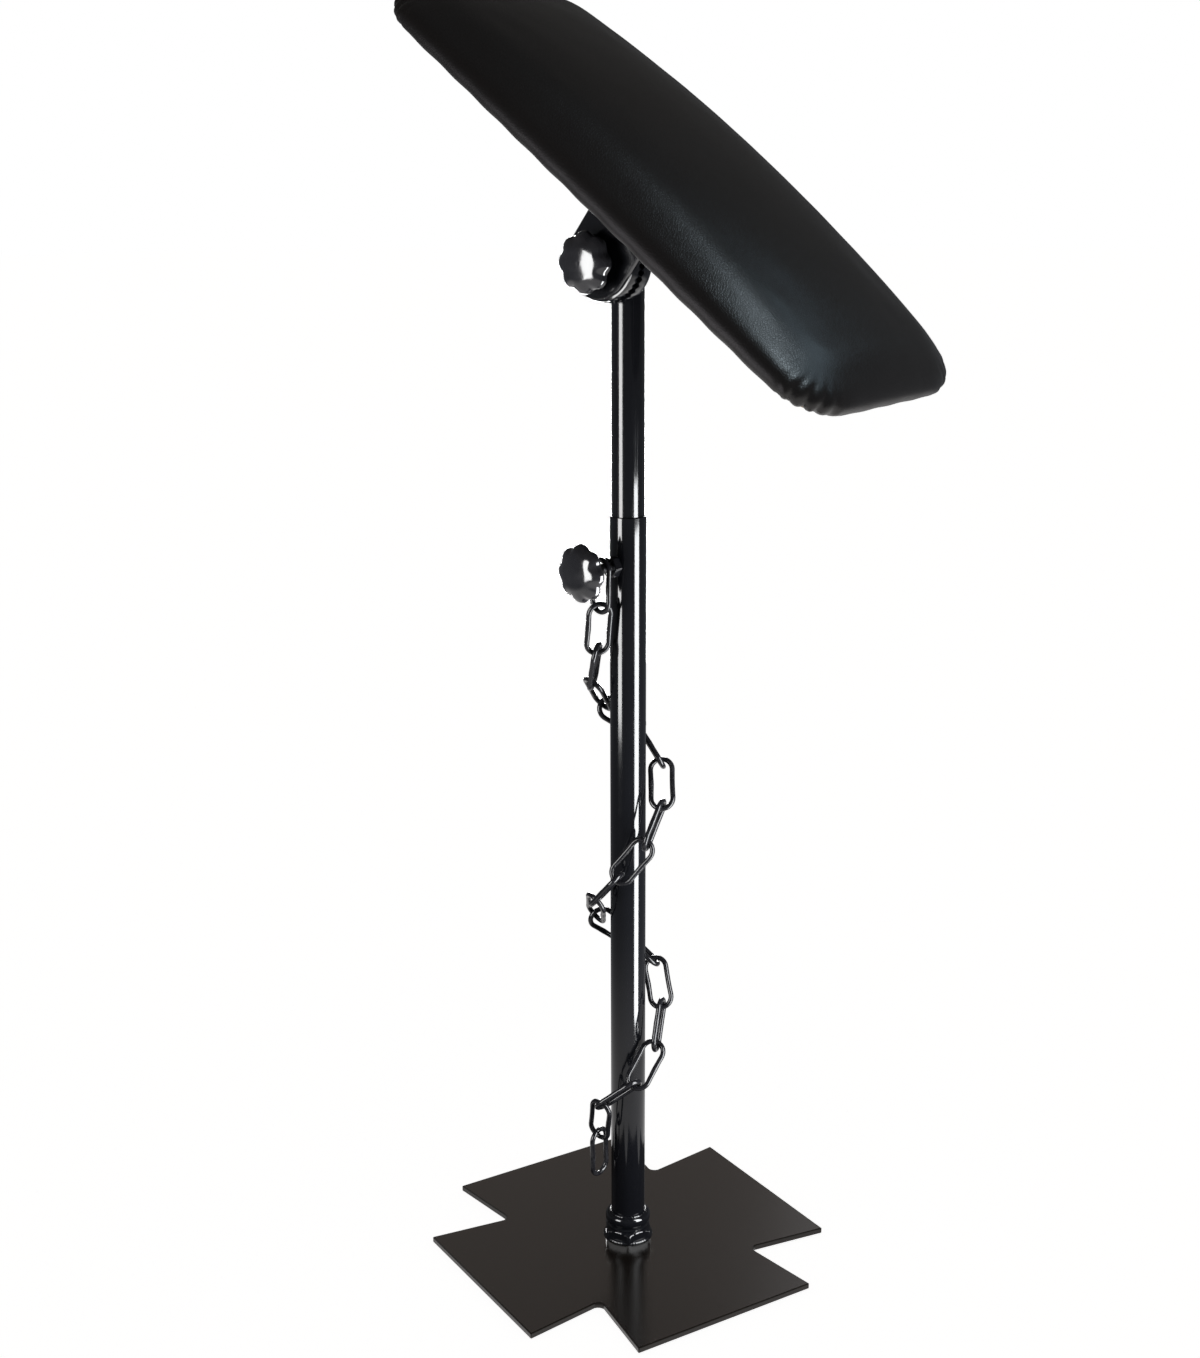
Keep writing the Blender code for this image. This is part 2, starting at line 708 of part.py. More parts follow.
def build_pad(tilt):
    places = [(x * SCREW_X, y * SCREW_Y) for x in (-1, 1) for y in (-1, 1)]
    hole = SCREW_RADIUS + BOLT_GAP
    screw_top = BOARD_UNDERSIDE + SCREW_DEPTH
    plate_mesh = slab("mounting_plate", mounting_plate_outline(), MOUNT_UNDERSIDE, MOUNT_TOP)
    plate = piece("mounting_plate", plate_mesh, PAINT, tilt)
    board_mesh = slab("pad_board", pad_outline(BOARD_INSET), BOARD_UNDERSIDE, BOARD_TOP)
    board = piece("pad_board", board_mesh, PLYWOOD, tilt)
    dust_top = PAD_UNDERSIDE + DUST_COVER_THICKNESS
    dust_mesh = slab("dust_cover", pad_outline(DUST_COVER_INSET), PAD_UNDERSIDE, dust_top)
    dust = piece("dust_cover", dust_mesh, FELT, tilt)
    for target in (plate, board, dust):
        drill(target, f"{target.name}_holes", hole, 0.030, screw_top + GAP, Matrix(), places)
    head_top = MOUNT_UNDERSIDE - GAP
    screw = [
        (0.0030, head_top - 0.0022),
        (0.0042, head_top - 0.0012),
        (0.0042, head_top),
        (SCREW_RADIUS, head_top),
        (SCREW_RADIUS, screw_top),
    ]
    screw_mesh = turned("plate_screw", screw, 16)
    for number, (x, y) in enumerate(places, 1):
        piece(f"plate_screw_{number}", screw_mesh, BLACK_STEEL, tilt, Matrix.Translation((x, y, 0)))
    piece("pad_foam", foam_mesh(), FOAM, tilt)
    piece("pad_cover", cover_mesh(), LEATHERETTE, tilt)


def main():
    clear_scene()
    build_stand()
    build_chain()
    build_height_knob()
    swivel = empty("swivel_axis", Matrix())
    build_glide(swivel)
    build_upper_post(swivel)
    tilt = empty("tilt_axis", PAD_FRAME, swivel)
    build_hinge_half(tilt)
    build_pad(tilt)
    build_tilt_knob(swivel)


main()
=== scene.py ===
"""The looks of the padded arm and leg rest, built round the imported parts, in metres."""

import json
import math

import bmesh
import bpy
import numpy as np
from mathutils import Matrix, Vector, noise


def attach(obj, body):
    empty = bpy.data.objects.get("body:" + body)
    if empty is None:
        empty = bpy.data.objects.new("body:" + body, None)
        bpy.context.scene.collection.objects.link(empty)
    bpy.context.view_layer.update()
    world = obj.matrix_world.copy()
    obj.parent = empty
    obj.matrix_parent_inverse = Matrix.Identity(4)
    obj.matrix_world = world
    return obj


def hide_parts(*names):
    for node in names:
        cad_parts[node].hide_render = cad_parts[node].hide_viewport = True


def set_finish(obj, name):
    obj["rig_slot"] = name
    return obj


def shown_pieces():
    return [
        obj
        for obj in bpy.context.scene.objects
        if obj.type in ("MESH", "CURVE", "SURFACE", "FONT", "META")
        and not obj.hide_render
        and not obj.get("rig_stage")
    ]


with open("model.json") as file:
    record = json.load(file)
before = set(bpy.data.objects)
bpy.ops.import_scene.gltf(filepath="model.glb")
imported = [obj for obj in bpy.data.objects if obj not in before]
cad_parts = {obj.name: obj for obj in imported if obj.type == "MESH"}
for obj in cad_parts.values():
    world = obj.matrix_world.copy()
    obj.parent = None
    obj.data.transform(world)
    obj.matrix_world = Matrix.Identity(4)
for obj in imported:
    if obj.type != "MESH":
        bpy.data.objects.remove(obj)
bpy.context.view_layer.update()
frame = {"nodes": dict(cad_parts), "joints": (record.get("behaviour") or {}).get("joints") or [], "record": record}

NODES = frame["nodes"]
JOINTS = {joint["name"]: joint for joint in frame["joints"]}

# Wall thicknesses and bores, as in the solids.
LOWER_WALL = 0.0012
UPPER_WALL = 0.0015
BOLT_BORE = 0.0043
INSERT_BORE = 0.0063
FIT = 0.0003

# Turned and bent parts.
ROUND_SIDES = 128
TUBE_EDGE = 0.0006
CAP_HEAD = 0.003
NUT_SIDES = 144
NUT_CHAMFER = 0.93
CHAMFER_SLOPE = math.radians(30)
PLATE_EDGE = 0.00022
EAR_EDGE = 0.00035
MOUNT_EDGE = 0.0006
SMALLEST_CORNER = math.radians(25)
LEAST_FLAT_AREA = 0.0002

# Weld beads, each with the scallops of its pool.
RIPPLE_STEPS = 5
FOOT_BEAD = 0.0021
COLLAR_BEAD = 0.0011
CLAMP_BEAD = 0.0013
HINGE_BEAD = 0.0022

# Star knobs.
KNOB_LOBES = 8
LOBE_DEPTH = 0.0021
NECK_RADIUS = 0.0085
NECK_LENGTH = 0.0055
KNOB_BORE_DEPTH = 0.014

# Toothed discs.
ROSETTE_TEETH = 36
TOOTH_DEPTH = 0.0022

# Threads.
THREAD_PITCH = 0.00125
THREAD_DEPTH = 0.0006
SCREW_PITCH = 0.0016
SCREW_DEPTH = 0.0005

# Pad: how the cover is inflated and finished.
VOXEL = 0.005
START_INSET = 0.0035
MOST_MOVEMENT = 0.0050
HELD_HEIGHT = 0.013
FREE_HEIGHT = 0.030
SIM_FRAMES = 20
SMOOTHING = 5
PLEAT_HEIGHT = 0.0030
PLEATS = 6
PLEAT_TOP = 0.030
PLEAT_FADE = 0.022
PAD_CORNER = 0.046
STAPLE_PITCH = 0.034
STAPLE_INSET = 0.0045
STAPLE_WIRE = 0.00035

# Camera and studio.
CAMERA_PLACE = (-0.8014, -1.2416, 0.9027)
CAMERA_LOOK = (0.5102, 0.8166, -0.2699)
CAMERA_ROLL = math.radians(-0.22)
CAMERA_LENS = 52.46
FLOOR_RADIUS = 14.0
WHITE = (1, 1, 1)
HORIZON_COLOUR = (0.145, 0.150, 0.160)
CEILING_COLOUR = (0.080, 0.075, 0.070)
FLOOR_GLOW = (1.20, 1.18, 1.17)


# ---------------------------------------------------------------- frames


def axis_frame(origin, along, across=(0, 0, 1)):
    """A frame whose local Z is along, with X as near to across as it can be."""
    z = Vector(along).normalized()
    x = Vector(across) - z * Vector(across).dot(z)
    x = x.normalized()
    made = Matrix((x, z.cross(x), z)).transposed().to_4x4()
    made.translation = Vector(origin)
    return made


def node_points(node, place=Matrix()):
    """A node's vertices in a frame, one row each."""
    inverse = place.inverted()
    return np.array([inverse @ vert.co for vert in NODES[node].data.vertices])


def node_span(node, place=Matrix()):
    """The lowest and highest corners of a node in a frame."""
    points = node_points(node, place)
    return points.min(0), points.max(0)


def reach(node, place):
    """A node's greatest distance from a frame's Z axis."""
    points = node_points(node, place)
    return float(np.hypot(points[:, 0], points[:, 1]).max())


def flat_normal(node):
    """The direction that a flat plate's largest face points in, turned upwards."""
    face = max(NODES[node].data.polygons, key=lambda polygon: polygon.area)
    return face.normal if face.normal.z > 0 else -face.normal


POST = Matrix()
TILT_AXIS = Vector(JOINTS["pad_tilt"]["axis"]).normalized()
HINGE = Vector(JOINTS["pad_tilt"]["pos_m"])
TILT = axis_frame(HINGE, TILT_AXIS)
CLAMP_HEIGHT = JOINTS["height_knob_turn"]["pos_m"][2]
CLAMP = axis_frame((0, 0, CLAMP_HEIGHT), JOINTS["height_knob_turn"]["axis"])
# The pad's own frame: X along the hinge axis, Y towards the pad's lower end, Z out of its top.
PAD_NORMAL = flat_normal("mounting_plate")
PAD = Matrix((TILT_AXIS, PAD_NORMAL.cross(TILT_AXIS), PAD_NORMAL)).transposed().to_4x4()
PAD.translation = HINGE


# ---------------------------------------------------------------- meshes


def smoothstep(value, low=0.0, high=1.0):
    part = min(max((value - low) / (high - low), 0.0), 1.0)
    return part * part * (3 - 2 * part)


def finished(name, shape, place=Matrix(), sharp=math.radians(35)):
    """Turns a bmesh into a smooth-shaded mesh, placed in the row frame."""
    bmesh.ops.recalc_face_normals(shape, faces=shape.faces)
    shape.transform(place)
    mesh = bpy.data.meshes.new(name)
    shape.to_mesh(mesh)
    shape.free()
    mesh.shade_smooth()
    mesh.set_sharp_from_angle(angle=sharp)
    return mesh


def grid_skin(name, rows, place, closed, sharp=math.radians(35)):
    """Skins loops of points. A closed skin joins its last loop to its first; an open one is capped."""
    shape = bmesh.new()
    loops = [[shape.verts.new(point) for point in row] for row in rows]
    bands = list(zip(loops, loops[1:]))
    if closed:
        bands.append((loops[-1], loops[0]))
    else:
        shape.faces.new(loops[0])
        shape.faces.new(loops[-1])
    for low, high in bands:
        for i, corner in enumerate(low):
            shape.faces.new((low[i - 1], corner, high[i], high[i - 1]))
    return finished(name, shape, place, sharp)


def turned(name, stations, place=POST, sides=ROUND_SIDES, closed=False, shape=None):
    """A turned body from stations of (radius, height). shape(radius, height, angle) gives the real pair."""
    rows = []
    for radius, height in stations:
        row = []
        for i in range(sides):
            angle = 2 * math.pi * i / sides
            r, h = shape(radius, height, angle) if shape else (radius, height)
            row.append((r * math.cos(angle), r * math.sin(angle), h))
        rows.append(row)
    return grid_skin(name, rows, place, closed)


def rounded(stations, radius, closed=False, steps=3):
    """Rounds the corners of a profile of (radius, height) pairs with short curves."""
    count = len(stations)
    made = []
    for i, (x, y) in enumerate(stations):
        if not closed and i in (0, count - 1):
            made.append((x, y))
            continue
        here = Vector((x, y))
        before = Vector(stations[i - 1]) - here
        after = Vector(stations[(i + 1) % count]) - here
        cut = min(radius, before.length / 2.2, after.length / 2.2)
        start = here + before.normalized() * cut
        end = here + after.normalized() * cut
        for step in range(steps + 1):
            t = step / steps
            point = start * (1 - t) ** 2 + here * (2 * t * (1 - t)) + end * t * t
            made.append((point.x, point.y))
    return made


def curve_through(points, steps=5):
    """More points on a smooth curve through the given (radius, height) pairs."""
    made = []
    last = len(points) - 1
    for i in range(last):
        a, b, c, d = (np.array(points[min(max(i + k, 0), last)]) for k in (-1, 0, 1, 2))
        for step in range(steps):
            t = step / steps
            point = 0.5 * (2 * b + (c - a) * t + (2 * a - 5 * b + 4 * c - d) * t**2)
            point += 0.5 * (3 * b - a - 3 * c + d) * t**3
            made.append(tuple(point))
    made.append(tuple(points[-1]))
    return made


def hexagon(apothem, angle):
    return apothem / math.cos((angle % (math.pi / 3)) - math.pi / 6)


def bar(name, path, radius, place, closed, sides):
    """A round bar along a flat path of (x, y). radius is a number or a function of the point's index."""
    count = len(path)
    rows = []
    for i, (x, y) in enumerate(path):
        after = path[(i + 1) % count] if closed else path[min(i + 1, count - 1)]
        before = path[i - 1] if closed or i else path[0]
        along = Vector((after[0] - before[0], after[1] - before[1])).normalized()
        size = radius(i) if callable(radius) else radius
        row = []
        for k in range(sides):
            turn = 2 * math.pi * k / sides
            out = size * math.cos(turn)
            row.append((x - along.y * out, y + along.x * out, size * math.sin(turn)))
        rows.append(row)
    return grid_skin(name, rows, place, closed, math.radians(60))


def keep_flat(mesh):
    """Marks the edges of large flat faces sharp, so that a bevel's small faces don't shade them."""
    shape = bmesh.new()
    shape.from_mesh(mesh)
    for face in shape.faces:
        if face.calc_area() > LEAST_FLAT_AREA:
            for edge in face.edges:
                edge.smooth = False
    shape.to_mesh(mesh)
    shape.free()


def welded_copy(node, bevel, segments):
    """A copy of a flat-faced node with its faces merged and its edges rounded over."""
    shape = bmesh.new()
    shape.from_mesh(NODES[node].data)
    bmesh.ops.remove_doubles(shape, verts=shape.verts, dist=1e-6)
    limit = math.radians(1)
    bmesh.ops.dissolve_limit(shape, angle_limit=limit, verts=shape.verts, edges=shape.edges)
    edges = [edge for edge in shape.edges if edge.calc_face_angle(0) > SMALLEST_CORNER]
    bmesh.ops.bevel(
        shape,
        geom=edges,
        offset=bevel,
        offset_type="OFFSET",
        segments=segments,
        profile=0.5,
        affect="EDGES",
        clamp_overlap=True,
    )
    mesh = finished(f"{node}_fine", shape)
    keep_flat(mesh)
    return mesh


# ---------------------------------------------------------------- materials


class Look:
    """A Principled material and the pattern nodes that drive it. Patterns lie in the object's own space."""

    def __init__(self, name, colour, roughness, metallic=0.0, specular=0.5):
        self.material = bpy.data.materials.new(name)
        self.material.use_nodes = True
        self.tree = self.material.node_tree
        self.shader = self.tree.nodes["Principled BSDF"]
        self.set("Base Color", (*colour, 1))
        self.set("Roughness", roughness)
        self.set("Metallic", metallic)
        self.set("Specular IOR Level", specular)

    def set(self, socket, value):
        self.shader.inputs[socket].default_value = value

    def node(self, kind, **values):
        made = self.tree.nodes.new(kind)
        for key, value in values.items():
            setattr(made, key, value)
        return made

    def join(self, start, end):
        self.tree.links.new(start, end)

    def place(self, stretch=(1, 1, 1)):
        coordinates = self.node("ShaderNodeTexCoord")
        mapping = self.node("ShaderNodeMapping")
        mapping.inputs["Scale"].default_value = stretch
        self.join(coordinates.outputs["Object"], mapping.inputs["Vector"])
        return mapping.outputs["Vector"]

    def noise(self, scale, detail=2.0, stretch=(1, 1, 1), rough=0.5):
        made = self.node("ShaderNodeTexNoise")
        made.inputs["Scale"].default_value = scale
        made.inputs["Detail"].default_value = detail
        made.inputs["Roughness"].default_value = rough
        self.join(self.place(stretch), made.inputs["Vector"])
        return made.outputs["Fac"]

    def cells(self, scale, feature="F1", stretch=(1, 1, 1)):
        made = self.node("ShaderNodeTexVoronoi", feature=feature)
        made.inputs["Scale"].default_value = scale
        self.join(self.place(stretch), made.inputs["Vector"])
        return made.outputs["Distance"]

    def remap(self, value, low, high, to_low, to_high):
        made = self.node("ShaderNodeMapRange")
        limits = {"From Min": low, "From Max": high, "To Min": to_low, "To Max": to_high}
        for socket, number in limits.items():
            made.inputs[socket].default_value = number
        self.join(value, made.inputs["Value"])
        return made.outputs["Result"]

    def sum(self, *values):
        total = values[0]
        for value in values[1:]:
            made = self.node("ShaderNodeMath", operation="ADD")
            self.join(total, made.inputs[0])
            self.join(value, made.inputs[1])
            total = made.outputs[0]
        return total

    def colour(self, value, dark, light):
        made = self.node("ShaderNodeMix", data_type="RGBA")
        made.inputs["A"].default_value = (*dark, 1)
        made.inputs["B"].default_value = (*light, 1)
        self.join(value, made.inputs["Factor"])
        self.join(made.outputs["Result"], self.shader.inputs["Base Color"])

    def roughness(self, value):
        self.join(value, self.shader.inputs["Roughness"])

    def bump(self, height, distance):
        made = self.node("ShaderNodeBump")
        made.inputs["Distance"].default_value = distance
        self.join(height, made.inputs["Height"])
        self.join(made.outputs["Normal"], self.shader.inputs["Normal"])


def gloss_paint(name, scratches=0.0):
    """Sprayed gloss black: faint orange peel, dust specks and, on the sliding tube, drawn scratches."""
    look = Look(name, (0.0017, 0.0018, 0.0022), 0.1, specular=0.32)
    cloud = look.noise(35, 3)
    specks = look.remap(look.cells(420), 0.0, 0.11, 1.0, 0.0)
    look.colour(specks, (0.0016, 0.0017, 0.0022), (0.010, 0.010, 0.010))
    rough = look.remap(cloud, 0.3, 0.7, 0.07, 0.14)
    if scratches:
        lines = look.noise(1.0, 3, (2600, 2600, 9), 0.65)
        rough = look.sum(rough, look.remap(lines, 0.56, 0.72, 0.0, scratches))
    look.roughness(rough)
    peel = look.noise(190, 1.5)
    look.bump(look.sum(look.remap(peel, 0, 1, 0, 1), look.remap(specks, 0, 1, 0, 0.5)), 0.000010)
    return look.material


def plate_paint():
    """Satin powder coat with a fine pebbled surface and faint rubbed patches."""
    look = Look("satin_powder_coat", (0.020, 0.0155, 0.0120), 0.2, specular=0.3)
    patches = look.noise(9, 3)
    look.colour(look.remap(patches, 0.3, 0.7, 0, 1), (0.0190, 0.0150, 0.0120), (0.0225, 0.0180, 0.0150))
    pebble = look.noise(1500, 2)
    rubbed = look.remap(patches, 0.3, 0.7, 0.17, 0.20)
    look.roughness(look.sum(rubbed, look.remap(pebble, 0.3, 0.7, -0.01, 0.02)))
    look.bump(look.sum(pebble, look.remap(look.noise(260, 1), 0, 1, 0, 0.6)), 0.000006)
    return look.material


def chain_coating():
    """Dipped black coating over drawn wire, thick in places and rubbed where links meet."""
    look = Look("dipped_black_coating", (0.0035, 0.0035, 0.004), 0.14, specular=0.21)
    lumps = look.noise(230, 2)
    rubbed = look.remap(look.noise(120, 4), 0.55, 0.75, 0, 1)
    look.colour(rubbed, (0.0030, 0.0030, 0.0036), (0.008, 0.008, 0.009))
    look.roughness(look.remap(lumps, 0.3, 0.7, 0.09, 0.22))
    look.bump(lumps, 0.00016)
    return look.material


def knob_plastic():
    """Polished moulded black plastic with faint flow marks and handling haze."""
    look = Look("moulded_black_plastic", (0.005, 0.005, 0.006), 0.16, specular=0.46)
    haze = look.noise(60, 4, rough=0.6)
    look.colour(look.remap(haze, 0.35, 0.7, 0, 1), (0.0042, 0.0042, 0.005), (0.008, 0.008, 0.009))
    look.roughness(look.remap(haze, 0.3, 0.7, 0.09, 0.16))
    look.bump(look.sum(look.noise(900, 2), look.remap(look.noise(90, 1), 0, 1, 0, 1.5)), 0.000012)
    return look.material


def metal(name, colour, roughness):
    """Plated or blackened steel, or brass, with drawn lines and a slight mottle."""
    look = Look(name, colour, roughness, metallic=1.0)
    mottle = look.noise(160, 3)
    lines = look.noise(900, 2, (1, 1, 0.1))
    darker = tuple(0.75 * part for part in colour)
    look.colour(look.remap(mottle, 0.3, 0.7, 0, 1), darker, colour)
    low, high = roughness - 0.08, roughness + 0.10
    look.roughness(look.remap(lines, 0.3, 0.7, low, high))
    look.bump(lines, 0.00001)
    return look.material


def leatherette():
    """Black upholstery vinyl: pebble grain in polygonal cells, fine pores and a soft sheen."""
    look = Look("black_leatherette", (0.0075, 0.0060, 0.0058), 0.29, specular=0.36)
    cells = look.cells(620, "DISTANCE_TO_EDGE")
    creases = look.remap(cells, 0.0, 0.16, 0.0, 1.0)
    pores = look.noise(2400, 2)
    worn = look.noise(7, 4, rough=0.55)
    look.colour(look.remap(worn, 0.3, 0.7, 0, 1), (0.0064, 0.0050, 0.0047), (0.0085, 0.0070, 0.0067))
    look.roughness(look.sum(look.remap(worn, 0.3, 0.7, 0.28, 0.32), look.remap(creases, 0, 1, 0.06, 0.0)))
    waves = look.remap(look.noise(85, 2), 0, 1, 0, 0.9)
    look.bump(look.sum(creases, look.remap(pores, 0, 1, 0, 0.35), waves), 0.00004)
    look.set("Sheen Weight", 0.02)
    look.set("Sheen Roughness", 0.45)
    return look.material


def felt():
    """Black non-woven cloth of pressed fibres."""
    look = Look("dust_cloth", (0.02, 0.02, 0.021), 0.95, specular=0.2)
    fibres = look.sum(look.noise(700, 3, (1, 6, 2)), look.noise(700, 3, (6, 1, 2)))
    look.colour(look.remap(fibres, 0.8, 1.2, 0, 1), (0.010, 0.010, 0.011), (0.034, 0.034, 0.036))
    look.bump(fibres, 0.00025)
    look.set("Sheen Weight", 0.2)
    return look.material


def plywood():
    look = Look("birch_plywood", (0.55, 0.40, 0.24), 0.7)
    grain = look.noise(55, 4, (1, 0.12, 1), 0.6)
    look.colour(look.remap(grain, 0.3, 0.7, 0, 1), (0.42, 0.29, 0.16), (0.62, 0.47, 0.30))
    look.bump(grain, 0.0002)
    return look.material


def moulded(name, colour, roughness):
    """A plain moulded plastic with a fine eroded texture."""
    look = Look(name, colour, roughness)
    fine = look.noise(1100, 3)
    darker = tuple(0.88 * part for part in colour)
    look.colour(look.remap(fine, 0.3, 0.7, 0, 1), darker, colour)
    look.bump(fine, 0.00003)
    return look.material


LOOKS = {
    "post_paint": gloss_paint("gloss_black_paint"),
    "sliding_paint": gloss_paint("gloss_black_paint_slid", 0.22),
    "base_paint": plate_paint(),
    "chain_coating": chain_coating(),
    "knob_plastic": knob_plastic(),
    "nylon": moulded("white_nylon", (0.72, 0.71, 0.66), 0.45),
    "zinc_steel": metal("zinc_plated_steel", (0.55, 0.55, 0.54), 0.34),
    "black_steel": metal("blackened_steel", (0.075, 0.075, 0.08), 0.34),
    "brass": metal("brass", (0.66, 0.48, 0.18), 0.3),
    "leatherette": leatherette(),
    "plywood": plywood(),
    "dust_cloth": felt(),
}


def add(name, mesh, body, slot, nodes=(), look=None):
    """Adds a piece: what it rides on, its finish and the nodes it stands for. look is a variant finish."""
    piece = bpy.data.objects.new(name, mesh)
    bpy.context.scene.collection.objects.link(piece)
    mesh.materials.clear()
    mesh.materials.append(LOOKS[look or slot])
    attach(piece, body)
    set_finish(piece, slot)
    if nodes:
        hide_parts(*nodes)
    return piece


def add_fine(node, mesh, body, slot, look=None):
    """Adds the detailed mesh of one node in its place."""
    return add(f"{node}_fine", mesh, body, slot, [node], look)


# ---------------------------------------------------------------- stand


def tube_profile(outer, inner, low, high):
    corners = [(inner, low), (outer, low), (outer, high), (inner, high)]
    return rounded(corners, TUBE_EDGE, closed=True)


def nut_profile(bore, apothem, low, high):
    """Profile of a hexagon nut with a chamfered top. nut_shape cuts its corners back."""
    width = apothem / math.cos(math.pi / 6)
    slope = (width - NUT_CHAMFER * apothem) * math.tan(CHAMFER_SLOPE)
    profile = [(bore, low), (NUT_CHAMFER * apothem, low), (width, low)]
    profile += [(width, high - slope * i / 4) for i in range(4, -1, -1)]
    return profile + [(NUT_CHAMFER * apothem, high), (bore, high)]


def nut_shape(bore, apothem, high):
    """Cuts the round profile to a hexagon, and its top corners back by the chamfer."""

    def shape(radius, height, angle):
        if radius <= bore:
            return radius, height
        chamfer = NUT_CHAMFER * apothem + (high - height) / math.tan(CHAMFER_SLOPE)
        return min(radius, hexagon(apothem, angle), chamfer), height

    return shape


def build_tubes():
    for node, wall, body, look in (
        ("lower_tube", LOWER_WALL, "stand", None),
        ("upper_tube", UPPER_WALL, "upper_post", "sliding_paint"),
    ):
        low, high = node_span(node)
        profile = tube_profile(high[0], high[0] - wall, low[2], high[2])
        add_fine(node, turned(f"{node}_fine", profile, closed=True), body, "post_paint", look)
    low, high = node_span("tube_cap")
    rim = high[0]
    plug = rim - UPPER_WALL - FIT
    head = high[2] - CAP_HEAD
    profile = rounded([(plug, low[2]), (plug, head), (rim, head), (rim, head + 0.0014)], 0.0004)
    profile += [(rim - 0.0004, head + 0.0022), (rim - 0.0018, high[2]), (0.002, high[2])]
    add_fine("tube_cap", turned("tube_cap_fine", profile), "upper_post", "knob_plastic")


def build_foot():
    low, high = node_span("foot_nut")
    apothem = high[1]
    bore = reach("foot_stud", POST) + FIT
    profile = nut_profile(bore, apothem, low[2], high[2])
    shape = nut_shape(bore, apothem, high[2])
    nut = turned("foot_nut_fine", profile, sides=NUT_SIDES, closed=True, shape=shape)
    add_fine("foot_nut", nut, "stand", "post_paint")
    low, high = node_span("foot_collar")
    rim = high[0]
    bore = reach("lower_tube", POST) + 0.0002
    base, top = low[2], high[2]
    outside = [
        (rim - 0.0016, base + 0.0002),
        (rim - 0.0020, base + 0.0022),
        (rim - 0.0010, base + 0.0040),
        (rim - 0.0001, base + 0.0056),
        (rim, base + 0.0080),
        (rim - 0.0004, base + 0.0102),
        (rim - 0.0016, top - 0.0004),
        (rim - 0.0030, top),
    ]
    profile = [(bore, base), *curve_through(outside, 4), (bore, top)]
    collar = turned("foot_collar_fine", profile, closed=True)
    add_fine("foot_collar", collar, "stand", "post_paint")


def build_plate():
    add_fine("base_plate", welded_copy("base_plate", PLATE_EDGE, 2), "stand", "base_paint")


def ring_bead(name, radius, size, height, ripples):
    """A weld bead run round a circle, with the scallops of its pool."""
    count = ripples * RIPPLE_STEPS
    path = [
        (radius * math.cos(2 * math.pi * i / count), radius * math.sin(2 * math.pi * i / count))
        for i in range(count)
    ]

    def pool(i):
        wander = noise.noise(Vector((i * 0.11, radius * 90, 3.1)))
        return size * (0.92 + 0.10 * abs(math.sin(math.pi * i / RIPPLE_STEPS)) + 0.09 * wander)

    return bar(name, path, pool, Matrix.Translation((0, 0, height)), True, 12)


def line_bead(name, length, size, place, ripples):
    """A straight weld bead along local X, tapered at both ends."""
    count = ripples * RIPPLE_STEPS
    path = [(length * (i / count - 0.5), 0.0) for i in range(count + 1)]

    def pool(i):
        scallop = 0.9 + 0.13 * abs(math.sin(math.pi * i / RIPPLE_STEPS))
        taper = 0.35 + 0.65 * smoothstep(min(i, count - i) / count, 0, 0.09)
        return size * scallop * taper

    return bar(name, path, pool, place, False, 12)


def build_welds():
    plate_top = node_span("base_plate")[1][2]
    nut_reach = node_span("foot_nut")[1][1]
    bead = ring_bead("foot_weld", nut_reach + 0.0002, FOOT_BEAD, plate_top + 0.0002, 54)
    add("foot_weld", bead, "stand", "post_paint")
    collar_top = node_span("foot_collar")[1][2]
    tube = reach("lower_tube", POST)
    bead = ring_bead("collar_weld", tube + 0.0006, COLLAR_BEAD, collar_top + 0.0001, 40)
    add("collar_weld", bead, "stand", "post_paint")
    # The clamp nut's weld follows the tube's round wall.
    nut_width = node_span("height_weld_nut")[1][1]
    count = 120
    rows = []
    for i in range(count):
        turn = 2 * math.pi * i / count
        y = (nut_width + 0.0004) * math.cos(turn)
        z = CLAMP_HEIGHT + (nut_width + 0.0010) * math.sin(turn)
        centre = Vector((-math.sqrt(tube**2 - y**2) - 0.0002, y, z))
        outward = Vector((0, math.cos(turn), math.sin(turn)))
        lift = Vector((centre.x, centre.y, 0)).normalized()
        size = CLAMP_BEAD * (0.9 + 0.16 * abs(math.sin(turn * 14)))
        row = []
        for k in range(10):
            angle = 2 * math.pi * k / 10
            row.append(centre + (outward * math.cos(angle) + lift * math.sin(angle)) * size)
        rows.append(row)
    stud = CLAMP.to_3x3() @ Vector((0, 0, -1))
    around = Matrix.Rotation(math.atan2(stud.y, stud.x), 4, "Z")
    bead = grid_skin("clamp_nut_weld", rows, around, True, math.radians(60))
    add("clamp_nut_weld", bead, "stand", "post_paint")


def build_clamp_nut():
    low, high = node_span("height_weld_nut", CLAMP)
    apothem = min(high[0], high[1])
    profile = nut_profile(BOLT_BORE, apothem, low[2], high[2])
    shape = nut_shape(BOLT_BORE, apothem, high[2])
    turn = CLAMP @ Matrix.Rotation(math.radians(90 if high[0] > high[1] else 0), 4, "Z")
    nut = turned("height_weld_nut_fine", profile, turn, 96, True, shape)
    add_fine("height_weld_nut", nut, "stand", "post_paint")


# ---------------------------------------------------------------- chain


def own_frame(node):
    """A link's own frame: X along it, Y across it and Z through its eye."""
    points = node_points(node)
    middle = points.mean(0)
    _, _, axes = np.linalg.svd(points - middle, full_matrices=False)
    x, y = (Vector(axis) * (1 if axis[np.abs(axis).argmax()] > 0 else -1) for axis in axes[:2])
    made = Matrix((x, y, x.cross(y))).transposed().to_4x4()
    low, high = node_span(node, made)
    made.translation = made @ Vector((low + high) / 2)
    return made


